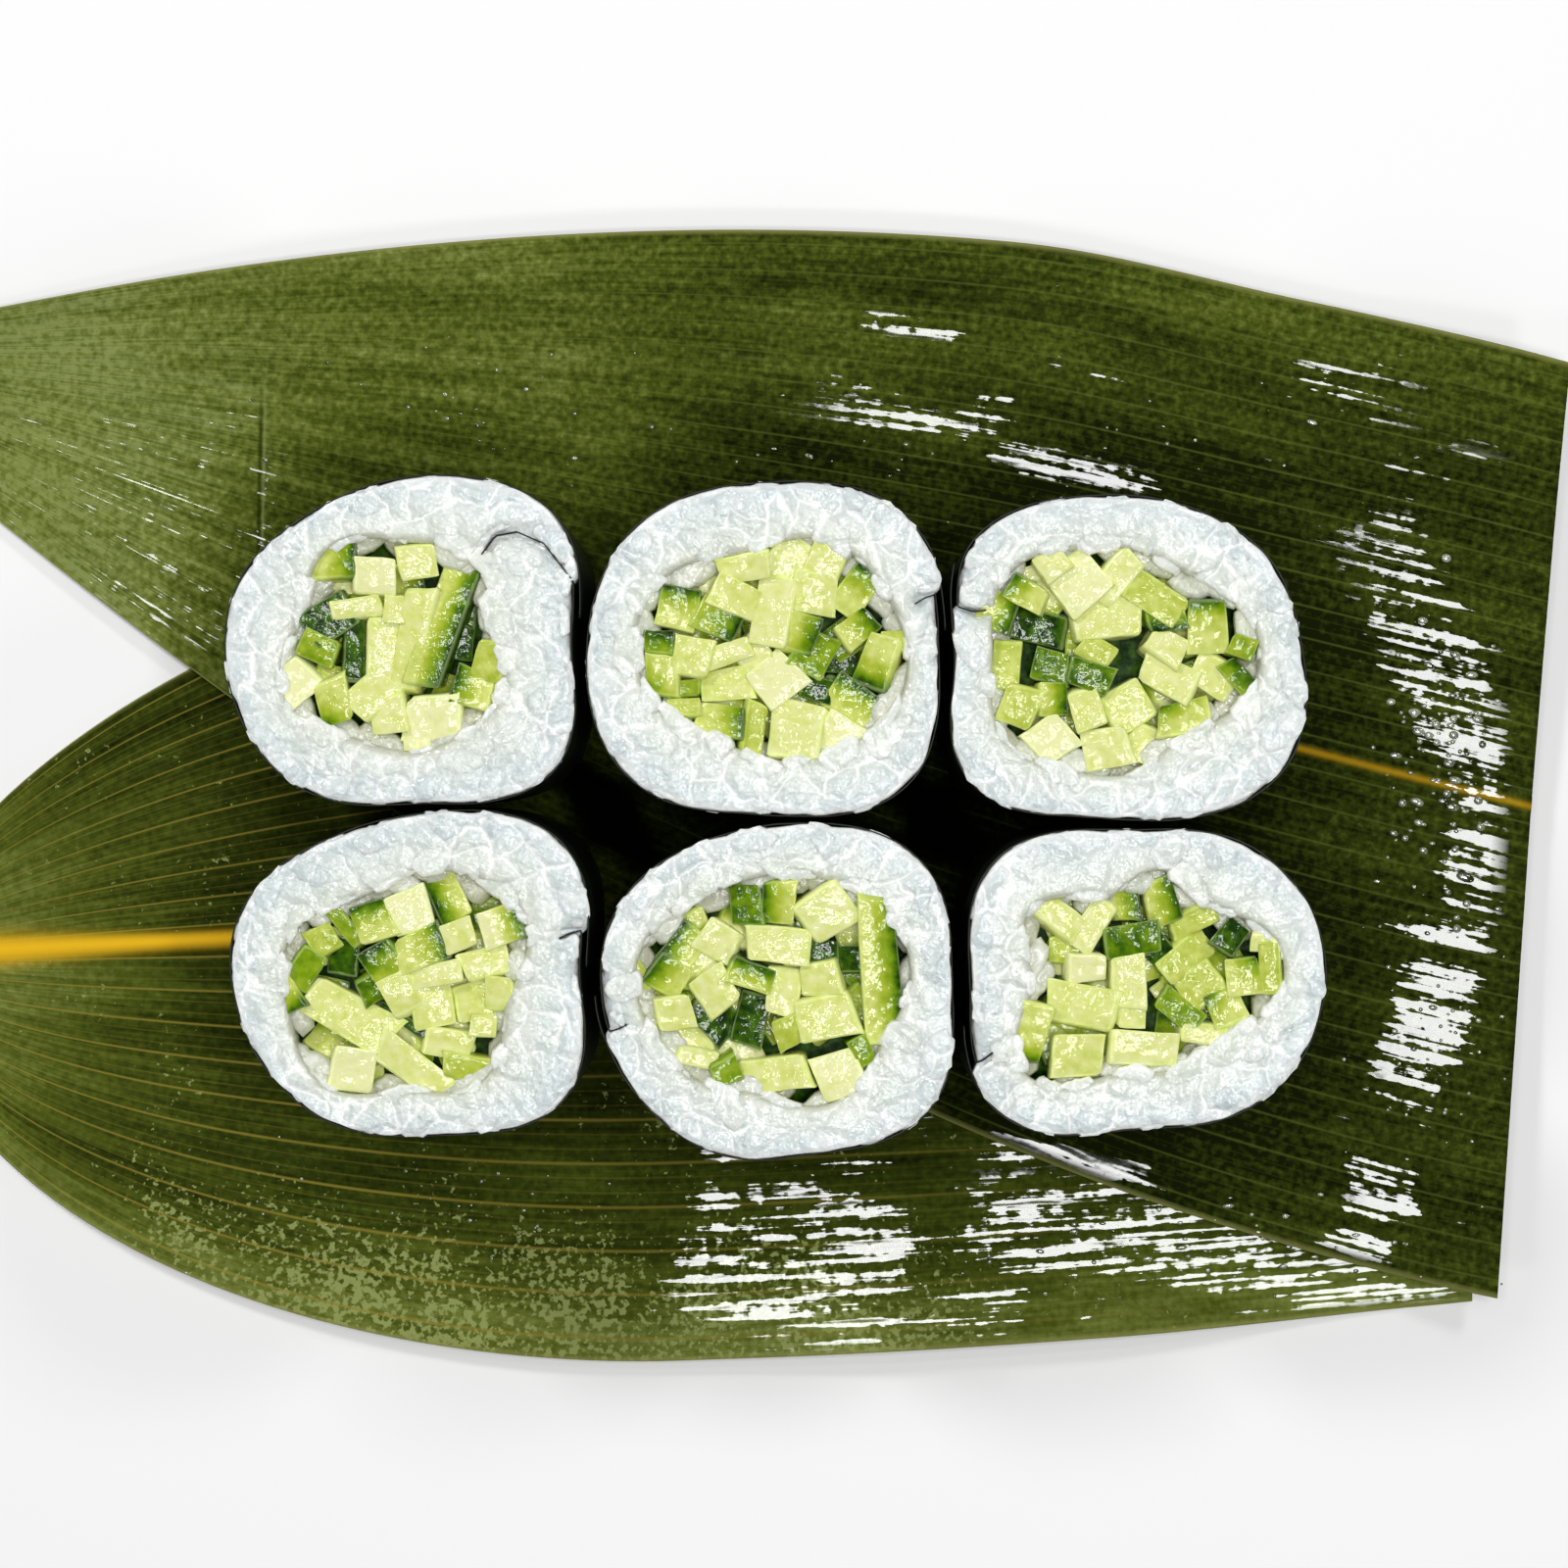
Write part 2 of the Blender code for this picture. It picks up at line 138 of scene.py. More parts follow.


# %% [markdown]
# ## The six pieces
#
# Each piece was pressed a little out of round by the knife and by its neighbours. Twelve radii,
# one every 30 degrees from +X round to the left, describe the outside of its nori, and twelve more
# the hollow that the cucumber fills. The sticks are listed one by one, as the cook's knife left them:
# place, width and depth, turn, how pale the flesh is (0 is skin, 1 is the pale heart), the side
# that carries the skin as an angle or "up", and how far the cut end lies under the rim. The gaps
# are the places between the sticks, with their radius, where one looks down into the dark.

# %% The pieces' sizes
FOOT = 2.15
CREAM, PALE, LIME, GREEN, DEEP = 1.0, 0.86, 0.62, 0.36, 0.12
PIECES = (
    {
        "centre": (-33.35, 12.55),
        "height": 30.2,
        "seam": 19.5,
        "inner_end": ((35, 15.0), (44, 13.8), (49, 12.2), (48, 10.2)),
        "nori": (15.4, 17.2, 16.3, 14.5, 14.0, 15.1, 15.9, 16.1, 15.8, 14.5, 16.3, 17.2),
        "filling": (7.9, 8.0, 9.0, 8.4, 9.9, 9.4, 9.6, 11.2, 9.4, 9.4, 9.3, 9.3),
        "gaps": ((3.4, 6.5, 0.3), (4.9, -2.1, 0.3), (-5.5, -3.9, 0.3), (-0.4, -4.1, 0.3), (6.6, 2.8, 0.3)),
        "sticks": (
            (-6.3, 7.2, 4.2, 3.2, 0, LIME, 0),
            (-5.2, 4.8, 3.4, 1.3, 0, CREAM, None, 1.6),
            (-2.5, 5.8, 3.7, 3.2, -3, CREAM),
            (1.2, 6.9, 3.4, 3.0, 8, PALE),
            (3.3, 1.7, 12, 3.2, 70, LIME, -20),
            (0.6, 0.3, 9, 2.6, 80, PALE),
            (-0.9, 2.8, 2, 2.5, 0, PALE),
            (-1.7, -0.6, 3.2, 5.5, 0, PALE),
            (-4.2, 3.0, 4.5, 1.8, 10, PALE),
            (-6.7, 1.9, 4.5, 3.5, 35, DEEP, "up"),
            (-7.6, -0.6, 3.4, 2.6, -25, GREEN),
            (-4.4, -0.6, 1.8, 6, 0, DEEP, "up", 0.6),
            (-9.6, -3.7, 3.4, 3.6, 40, CREAM),
            (-6.7, -2.6, 2, 1.4, -20, LIME, None, 1.0),
            (-6.2, -5.4, 3, 4, 15, LIME, 255),
            (-3.0, -4.6, 4.4, 3.2, 45, PALE),
            (-1.5, -6.5, 3.2, 3.4, 10, PALE),
            (2.4, -6.8, 5, 4, 0, CREAM),
            (1, -8.9, 2.4, 1.6, 0, CREAM, None, 0.6),
            (5.9, -4.1, 3.6, 3.4, -18, LIME, 162),
            (7.4, -1.7, 2.8, 3.6, -15, LIME),
            (4.7, 0, 2.6, 3.2, -10, DEEP, "up", 1.5),
        ),
    },
    {
        "centre": (-1.6, 11.85),
        "height": 30.0,
        "seam": 18,
        "inner_end": ((18, 14.7), (17, 13.7)),
        "nori": (15.9, 17.0, 16.4, 14.8, 15.4, 15.9, 15.9, 16.7, 15.9, 14.7, 16.6, 17.1),
        "filling": (12.1, 11.2, 10.6, 8.7, 8.9, 10.8, 11.1, 10.2, 8.7, 9.3, 10.3, 11.9),
        "gaps": ((5.6, -2.6, 0.2),),
        "sticks": (
            (2.0, 7.8, 3.5, 4.5, -35, PALE),
            (5.3, 8.0, 3.2, 3.6, -25, PALE),
            (4.2, 4.9, 4.2, 3.8, -10, PALE),
            (-1.9, 7.1, 4.6, 2.4, 8, PALE),
            (-2.6, 4.6, 4.6, 3.0, -22, PALE),
            (0.6, 3.5, 3.4, 6.5, -10, PALE),
            (-7.7, 3.7, 3.6, 3.8, -8, LIME, 82),
            (-4.1, 2.8, 4.2, 3.4, -22, GREEN, -22),
            (-9.4, 0.7, 2.7, 2.0, 0, GREEN, 90),
            (-9.2, -2.2, 2.8, 3.6, 0, LIME, 215),
            (-6.5, -0.6, 3.4, 3.4, -8, PALE),
            (-7.3, -3.4, 3, 1.5, 5, GREEN),
            (-3.5, -3.1, 4.6, 2.9, 8, PALE),
            (-3.5, -0.4, 4.6, 2, 18, PALE),
            (-1, -0.4, 3, 3, 40, PALE),
            (1.0, -2.6, 4.2, 4.2, 42, CREAM),
            (3.1, 1.5, 3.2, 3.4, -20, LIME, -20),
            (7.9, 5.1, 3.0, 4.6, -35, LIME, 55),
            (8.1, 1.9, 3.4, 2.6, 35, LIME, 35),
            (4.3, -0.4, 3.4, 4, -30, GREEN),
            (6.8, -0.6, 3.4, 3.2, 0, DEEP, "up", 2.0),
            (9.7, -1.0, 2.9, 4.8, -20, LIME, 250),
            (11.3, 0.8, 2, 1.8, 0, LIME),
            (4.5, -3.5, 3, 2.2, -15, DEEP, "up", 0.6),
            (7.6, -4.5, 4.6, 3.4, -30, LIME, 60),
            (6.4, -7.6, 3.6, 3.6, -38, CREAM),
            (2.6, -7.0, 4.6, 5, -5, PALE),
            (-0.9, -7.0, 1.8, 4.6, -8, LIME),
            (-4.0, -6.2, 4.2, 2.8, -5, LIME, 0),
            (-7.2, -5.0, 3, 1.5, 0, LIME),
            (11.6, 5.3, 3, 2.4, -35, GREEN, 235),
        ),
    },
    {
        "centre": (30.25, 11.0),
        "height": 29.7,
        "seam": 163,
        "inner_end": ((163, 14.2), (161, 13.2)),
        "nori": (15.6, 15.4, 14.7, 14.5, 16.2, 17.6, 15.4, 17.6, 15.9, 14.3, 15.7, 16.9),
        "filling": (11.3, 10.3, 8.7, 9.3, 10.7, 12.6, 11.6, 12.6, 10.9, 9.8, 8.0, 9.6),
        "gaps": ((-6.7, 0.0, 1.6), (0.2, 2.1, 0.2), (-0.9, -1.2, 0.2)),
        "sticks": (
            (-6.7, 8.5, 2.8, 2.8, 35, PALE),
            (-8.7, 7.6, 2.4, 1.4, 10, CREAM, None, 1.2),
            (-4.2, 6.7, 4.6, 4.6, 40, CREAM),
            (-1, 7.1, 2.6, 5.2, -40, PALE),
            (-1.7, 3.7, 6, 3.6, 5, PALE),
            (2.4, 5.3, 5.6, 3.0, -32, LIME),
            (3.5, 3.5, 3.4, 2.2, 10, GREEN, 270),
            (7.0, 2.8, 3.6, 4.8, 5, LIME, 90),
            (10.1, 1.1, 2.4, 2, -20, GREEN),
            (9.9, -1.7, 2, 4, 40, GREEN, 40),
            (3.5, 1.2, 3.5, 2.6, -30, PALE),
            (3.5, -1.5, 5, 3.2, -25, PALE),
            (7.6, -1.5, 4.2, 3.2, -35, PALE),
            (-2.7, 0.7, 3.2, 2.4, -35, LIME),
            (-6.8, -0.6, 3.2, 2.9, -15, GREEN, "up"),
            (-3.3, -1.5, 4, 2.6, -18, GREEN, "up"),
            (-11.6, 4.2, 3.6, 3.6, -20, LIME, -20),
            (-9.0, 5.7, 3.6, 2.4, -30, LIME, 130),
            (-7.8, 2.8, 5, 3, -15, DEEP, "up", 2.0),
            (-10.7, -0.6, 2.5, 4.4, -5, LIME),
            (-9.6, -4.2, 3.4, 3.6, -20, LIME),
            (-6.5, -3.5, 2.5, 3, 5, LIME, 0),
            (-6.7, -7.0, 3.8, 3.8, 38, CREAM),
            (-3.6, -4.5, 2.8, 3.6, 15, PALE),
            (0.1, -4.2, 4, 4, 25, PALE),
            (-1.9, -7.9, 4.2, 3.6, 10, PALE),
            (1.5, -7.6, 2.8, 3.4, -25, PALE),
            (4.9, -5.1, 4.8, 2.9, 10, LIME, 120),
        ),
    },
    {
        "centre": (-33.0, -16.65),
        "height": 29.5,
        "seam": 14,
        "inner_end": ((14, 14.6), (13, 13.6)),
        "nori": (15.8, 17.7, 16.4, 14.1, 13.9, 15.5, 15.8, 15.3, 15.0, 14.5, 16.2, 17.7),
        "filling": (9.4, 10.8, 9.6, 8.4, 7.5, 9.6, 10.8, 11.3, 11.8, 10.0, 11.2, 9.2),
        "gaps": ((2.4, 4.3, 0.2), (-2.0, 3.0, 0.2), (4.2, 1.7, 0.2)),
        "sticks": (
            (-5.8, 4.4, 1.5, 4.6, 40, GREEN),
            (-3.2, 4.6, 3.4, 3.6, 20, LIME, 110),
            (0, 5.5, 3.8, 3.8, 20, CREAM),
            (3.3, 6.7, 3.0, 4.6, 25, LIME, 205),
            (4.2, 3.3, 3.4, 2.8, 20, PALE),
            (8.1, 4.2, 3.8, 3.4, 22, PALE, 22),
            (1.0, 2.1, 4.6, 3.4, 20, LIME, 20),
            (6.7, 1.0, 4.2, 2.6, 12, PALE),
            (-5.8, 1.5, 2.6, 3.4, -10, DEEP, "up"),
            (-2.4, 1.0, 3.2, 3.4, 35, GREEN, 125),
            (-3.0, -1.3, 3, 2.4, 30, GREEN, "up"),
            (-7.6, 3.0, 2.6, 2.6, 30, LIME),
            (-9.2, 0.3, 2.5, 3.8, -35, GREEN),
            (-10.8, -2.0, 2.5, 3.2, 30, LIME, -45),
            (-5.3, -3.8, 8.6, 3.8, -28, PALE),
            (-0.7, -4.2, 5.4, 0.9, -32, DEEP, "up", 0.4),
            (-0.8, -1.7, 3, 3.6, 30, PALE),
            (2.0, -2.9, 3.8, 4, 10, PALE),
            (5.6, -2.6, 3.2, 3.4, 10, PALE),
            (2.4, -0.1, 4.6, 2.2, 8, PALE),
            (7.9, -1.7, 2.6, 3, 0, PALE),
            (3.5, -6.3, 4.2, 2.6, -8, PALE),
            (0.4, -8.3, 7.6, 2.8, -38, PALE),
            (-4.9, -8.5, 3.8, 4, -10, CREAM),
            (5.4, -8.5, 5, 2.4, -10, LIME),
            (6.5, -4.6, 2.4, 2, 0, PALE),
        ),
    },
    {
        "centre": (-1.0, -18.35),
        "height": 30.4,
        "seam": 193,
        "inner_end": ((193, 14.1), (192, 13.1)),
        "nori": (15.9, 17.3, 16.7, 14.9, 14.9, 15.9, 15.8, 15.1, 15.1, 14.7, 15.7, 17.3),
        "filling": (11.5, 11.8, 10.8, 10.0, 10.0, 11.4, 11.6, 10.4, 9.3, 8.9, 10.7, 10.2),
        "gaps": ((-0.3, -5.1, 0.2), (2.6, -5.0, 0.2), (5.0, -4.6, 0.2)),
        "sticks": (
            (-2.4, 7.8, 2.8, 3.8, 5, GREEN, "up"),
            (0.5, 7.9, 3, 3.8, -5, LIME, 180),
            (4.9, 7.1, 4.6, 4.2, 35, PALE),
            (0.6, 4.2, 5.6, 3.2, -8, PALE),
            (-4.9, 4.6, 3.4, 3.2, -35, PALE),
            (-7.8, 4.0, 3, 4.2, -35, LIME, 145),
            (-9.1, 1.5, 3.4, 3.2, -35, LIME, 145),
            (-11.9, 1.9, 1.4, 4, 35, LIME, None, 0.8),
            (-5.0, 0.3, 3.4, 3.8, 35, PALE),
            (-1.9, 1.5, 4.2, 2.4, -20, LIME, 70),
            (-5.1, -2.2, 4.4, 3.4, -45, DEEP, "up", 1.5),
            (-8.5, -1.8, 3.2, 3, 10, PALE),
            (-7.4, -3.9, 4.6, 1.8, -20, PALE, None, 1.0),
            (-1.9, -2.4, 2.8, 4.8, -10, DEEP, "up", 0.4),
            (0.9, 0.1, 3, 4.2, -5, PALE),
            (4.1, 1.2, 3.4, 3, 8, PALE),
            (4.7, -2.2, 5.2, 3.8, 12, PALE),
            (6.8, 3.0, 2.2, 2.4, 0, DEEP, "up", 0.8),
            (4.5, 3.7, 2.6, 2, 0, DEEP, "up", 1.0),
            (9.5, 2.1, 3.4, 13, 4, LIME, 4),
            (1.3, -3.5, 2.4, 2.8, 20, LIME),
            (0.1, -7.2, 6, 3, 8, PALE),
            (-4, -7.0, 2.6, 2.2, 25, GREEN),
            (-6.5, -5.8, 3.4, 1.6, -12, PALE),
            (5.8, -7.1, 4.2, 4, 20, CREAM),
            (7.9, -5.1, 1.8, 2.6, 25, GREEN),
        ),
    },
    {
        "centre": (31.65, -17.35),
        "height": 29.9,
        "seam": 206,
        "inner_end": ((206, 15.7), (205, 14.7)),
        "nori": (16.1, 16.0, 14.8, 13.5, 15.4, 17.0, 15.9, 17.4, 15.7, 13.1, 14.1, 15.4),
        "filling": (11.9, 10.3, 8.6, 9.2, 8.0, 11.4, 9.4, 12.6, 10.0, 7.6, 7.8, 9.0),
        "gaps": ((1.2, -3.8, 0.2), (-4.4, 3.2, 0.2), (-3.3, 5.5, 0.2)),
        "sticks": (
            (-1.6, 7.2, 2.7, 3.8, 8, LIME, 8),
            (1.7, 7.0, 2.8, 4.2, 18, LIME, 18),
            (-7.4, 5.8, 4.8, 2.4, -38, PALE),
            (-4.6, 4.9, 2.4, 5, -30, PALE),
            (-6.9, 2.8, 2.8, 2.4, 0, LIME, None, 1.5),
            (-1.0, 3.7, 5, 2.9, 8, GREEN, "up"),
            (4.5, 5.3, 4.2, 2, 30, LIME),
            (7.6, 4.0, 2.4, 3, -40, DEEP, "up"),
            (3.8, 2.1, 5.2, 2.6, 40, LIME),
            (4.9, -0.4, 3.8, 3.4, 40, LIME),
            (1.3, 2.6, 2.6, 2, 40, DEEP, "up", 0.6),
            (8.7, 0.4, 3.2, 3.4, 10, LIME, 50),
            (11.0, 1.2, 1.9, 4.8, 3, LIME),
            (10.6, 3.3, 2.6, 1.6, 0, PALE),
            (-4.9, 1.1, 3.2, 2.4, 5, CREAM),
            (-5.5, -2.0, 6.2, 3.6, -12, PALE),
            (-1.3, 0.3, 3, 5.4, 5, PALE),
            (-1, -3.1, 2.4, 2.2, 0, PALE),
            (0.1, -5.8, 6, 3, -5, PALE),
            (-5.8, -6.5, 4.6, 3.8, 0, PALE),
            (-10.1, -4.5, 3.2, 5.4, -15, LIME, 265),
            (3.2, -2.6, 4.4, 2.4, -38, GREEN),
            (7.2, -2.2, 3.2, 3.2, 25, LIME, 160),
            (5.4, -4.7, 4.2, 1.8, -8, PALE),
        ),
    },
)


def radius_at(radii, degrees):
    """The radius, at each angle, of the smooth closed curve through evenly spaced radii."""
    degrees = np.asarray(degrees, float)
    count = len(radii)
    half = count // 2
    total = np.zeros_like(degrees)
    for index, radius in enumerate(radii):
        gap = np.radians(degrees - 360 * index / count)
        waves = sum(np.cos(wave * gap) for wave in range(1, half))
        total += radius * (1 + 2 * waves + np.cos(half * gap)) / count
    return total


# %% [markdown]
# ## Where the pieces stand
#
# The solids were centred as one group, so everything is shifted by the same small amount against
# the sizes above. The box of each nori, compared with the box of its outline, tells how far.

# %% Find the shift
def shift_of_group():
    turns = np.arange(0, 360, 2.0)
    found = []
    for number, piece in enumerate(PIECES, start=1):
        low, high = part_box(f"nori_{number}")
        radius = radius_at(piece["nori"], turns)
        x = piece["centre"][0] + radius * np.cos(np.radians(turns))
        y = piece["centre"][1] + radius * np.sin(np.radians(turns))
        middle = ((x.min() + x.max()) / 2, (y.min() + y.max()) / 2)
        found.append([(low[axis] + high[axis]) / 2 / MM - middle[axis] for axis in (0, 1)])
    return np.array([*np.mean(found, axis=0), 0.0])


SHIFT = shift_of_group()
print("The group is shifted by", SHIFT.round(2), "mm")


# %% [markdown]
# ## Camera
#
# The pieces are seen from straight above, from a bit more than a hand's length away. At that
# distance the tops look noticeably larger than the leaves under them.

# %% Camera
EYE_HEIGHT = 376.0
LENS = 90.0


def make_camera():
    bpy.ops.object.camera_add(location=Vector((SHIFT[0], SHIFT[1], EYE_HEIGHT)) * MM)
    camera = bpy.context.object
    camera.rotation_euler = (0, 0, 0)
    camera.data.lens = LENS
    camera.data.sensor_width = 36
    camera.data.clip_start = 0.01
    bpy.context.scene.camera = camera


make_camera()


# %% [markdown]
# ## Light and floor
#
# Four large panels stand low round the table and do most of the lighting, and a dim, even sky
# fills in. They stand too low to be mirrored by anything flat. The bright, small panels high up are
# there to be mirrored: they show as white streaks on the wet leaves and as glints on the cucumber.

# %% Light and floor
SKY_STRENGTH = 0.06
PANELS = (
    # name, place, size, watts
    ("front_panel", (76, -132, 700), (226, 60), 0.92),
    ("right_panel", (182, -12, 700), (50, 180), 0.60),
    ("left_panel", (-175, 72, 700), (75, 80), 0.36),
    ("back_panel", (90, 108, 700), (150, 50), 0.50),
    ("glint_left", (-60, 45, 700), (32, 32), 0.07),
    ("glint_right", (62, 50, 700), (32, 32), 0.07),
    ("glint_front", (20, -66, 700), (32, 32), 0.07),
    ("glint_back_left", (-130, 280, 700), (40, 40), 0.16),
    ("glint_back_right", (150, 290, 700), (40, 40), 0.16),
    ("back_left_key", (-330, 330, 430), (90, 90), 1.20),
    ("front_right_key", (360, -320, 430), (90, 90), 0.45),
    ("back_right_key", (330, 330, 430), (90, 90), 0.72),
    ("front_left_key", (-360, -300, 430), (90, 90), 0.34),
)


def make_lights():
    world = bpy.data.worlds.new("sky")
    world.use_nodes = True
    sky = world.node_tree.nodes["Background"]
    sky.inputs["Color"].default_value = (1, 1, 1, 1)
    sky.inputs["Strength"].default_value = SKY_STRENGTH
    bpy.context.scene.world = world
    bpy.context.scene.view_settings.view_transform = "Standard"
    for name, place, size, watts in PANELS:
        spot = (Vector(place) + Vector(SHIFT)) * MM
        bpy.ops.object.light_add(type="AREA", location=spot)
        panel = bpy.context.object
        panel.name = name
        panel.data.shape = "RECTANGLE"
        panel.data.size = size[0] * MM
        panel.data.size_y = size[1] * MM
        panel.data.energy = watts
        if name.endswith("key"):
            panel.rotation_euler = (-Vector(place)).to_track_quat("-Z", "Y").to_euler()


def make_floor():
    bpy.ops.mesh.primitive_plane_add(size=3, location=(0, 0, 0))
    floor = bpy.context.object
    floor.name = "floor"
    plain = bpy.data.materials.new("plain_floor")
    plain.use_nodes = True
    shader = plain.node_tree.nodes["Principled BSDF"]
    shader.inputs["Base Color"].default_value = (0.93, 0.93, 0.93, 1)
    shader.inputs["Roughness"].default_value = 0.9
    floor.data.materials.append(plain)


make_lights()
make_floor()


# %% [markdown]
# ## Materials
#
# A few short helpers put nodes in a material and join them. Every pattern reads Object
# coordinates, or a number stored on the mesh, so it stays on its piece from every side.

# %% Helpers for materials
def new_material(name, roughness):
    material = bpy.data.materials.new(name)
    material.use_nodes = True
    shader = material.node_tree.nodes["Principled BSDF"]
    shader.inputs["Roughness"].default_value = roughness
    return material, material.node_tree, shader


def add(tree, kind, **values):
    """A new node. A value goes to the socket of that name, or else to the setting of that name."""
    made = tree.nodes.new(kind)
    for name, value in values.items():
        socket = name.replace("_", " ")
        if socket in made.inputs:
            made.inputs[socket].default_value = value
        else:
            setattr(made, name, value)
    return made


def stored(tree, name):
    """The number stored on the mesh under this name."""
    return add(tree, "ShaderNodeAttribute", attribute_name=name).outputs["Fac"]


def pattern(tree, scale, detail=3.0, stretch=(1, 1, 1), turn=0.0):
    """Noise from Object coordinates. The scale counts hills in a metre."""
    place = add(tree, "ShaderNodeTexCoord").outputs["Object"]
    mapping = add(tree, "ShaderNodeMapping")
    mapping.inputs["Scale"].default_value = stretch
    mapping.inputs["Rotation"].default_value = (0, 0, math.radians(turn))
    tree.links.new(place, mapping.inputs["Vector"])
    cloud = add(tree, "ShaderNodeTexNoise", Scale=scale, Detail=detail)
    tree.links.new(mapping.outputs["Vector"], cloud.inputs["Vector"])
    return cloud.outputs["Fac"]


def ramp(tree, source, *stops):
    """Colours along a number: each stop is (place, (red, green, blue))."""
    made = add(tree, "ShaderNodeValToRGB")
    band = made.color_ramp
    while len(band.elements) < len(stops):
        band.elements.new(0.5)
    for element, (place, colour) in zip(band.elements, stops):
        element.position = place
        element.color = (*colour, 1)
    tree.links.new(source, made.inputs["Fac"])
    return made.outputs["Color"]


def rescale(tree, source, low, high, to_low=0.0, to_high=1.0):
    made = add(tree, "ShaderNodeMapRange")
    made.inputs["From Min"].default_value = low
    made.inputs["From Max"].default_value = high
    made.inputs["To Min"].default_value = to_low
    made.inputs["To Max"].default_value = to_high
    tree.links.new(source, made.inputs["Value"])
    return made.outputs["Result"]


def sums(tree, operation, first, second):
    """An arithmetic node on two numbers, each a socket or a plain number."""
    made = add(tree, "ShaderNodeMath", operation=operation)
    for socket, value in zip(made.inputs, (first, second)):
        if isinstance(value, (int, float)):
            socket.default_value = value
        else:
            tree.links.new(value, socket)
    return made.outputs["Value"]


def blend(tree, share, first, second, how="MIX"):
    """Mixes two colours, each a socket or (red, green, blue), by a share."""
    made = add(tree, "ShaderNodeMix", data_type="RGBA", blend_type=how)
    sockets = [s for s in made.inputs if s.enabled]
    for socket, value in zip(sockets, (share, first, second)):
        if isinstance(value, (int, float)):
            socket.default_value = value
        elif isinstance(value, tuple):
            socket.default_value = (*value, 1)
        else:
            tree.links.new(value, socket)
    return next(s for s in made.outputs if s.enabled)


def relief(tree, shader, height, distance, strength=1.0):
    """Turns a number into bumps on the surface, and on the wet film over it."""
    made = add(tree, "ShaderNodeBump", Strength=strength)
    made.inputs["Distance"].default_value = distance * MM
    tree.links.new(height, made.inputs["Height"])
    tree.links.new(made.outputs["Normal"], shader.inputs["Normal"])
    tree.links.new(made.outputs["Normal"], shader.inputs["Coat Normal"])


# %% [markdown]
# ### Nori
#
# Toasted seaweed is nearly black, with a deep green cast and a satin gloss. It is a pressed
# mat, so fine threads and pores show in the gloss.

# %% Nori's material
def nori_material():
    material, tree, shader = new_material("nori_sheet", 0.42)
    mottle = pattern(tree, 900, 5)
    colour = ramp(tree, mottle, (0.3, (0.003, 0.005, 0.003)), (0.7, (0.012, 0.020, 0.009)))
    tree.links.new(colour, shader.inputs["Base Color"])
    threads = pattern(tree, 1600, 6, stretch=(1, 1, 0.35))
    relief(tree, shader, threads, 0.12, 0.6)
    shader.inputs["Specular IOR Level"].default_value = 0.35
    return material


NORI = nori_material()


# %% [markdown]
# ### Rice
#
# Cooked sushi rice is white and a little see-through: a cut grain is cool and milky in its middle,
# and the light that comes through it from the side is painted on as a bright rim, a painted
# highlight along each grain's edge and along the seams of a net of grain-sized cells. Fine bright
# specks are painted on as sparkle. The grains against the cucumber look warmer. The mesh stores
# how near a point is to its grain's rim, how far in across the ring it lies, a small difference in
# tone for each grain, and how much painted shade falls on the sunk grains and the ring's inner edge.

# %% Rice's material
def to_seam(tree):
    """How far a point is from the seams of a wobbly net, whose cells are as big as grains."""
    wobble = add(tree, "ShaderNodeTexNoise", Scale=260, Detail=2)
    shifted = add(tree, "ShaderNodeVectorMath", operation="MULTIPLY_ADD")
    place = add(tree, "ShaderNodeTexCoord").outputs["Object"]
    tree.links.new(place, wobble.inputs["Vector"])
    tree.links.new(wobble.outputs["Color"], shifted.inputs[0])
    shifted.inputs[1].default_value = (4.4 * MM, 4.4 * MM, 4.4 * MM)
    tree.links.new(place, shifted.inputs[2])
    net = add(tree, "ShaderNodeTexVoronoi", voronoi_dimensions="2D", feature="DISTANCE_TO_EDGE", Scale=330)
    tree.links.new(shifted.outputs["Vector"], net.inputs["Vector"])
    return net.outputs["Distance"]


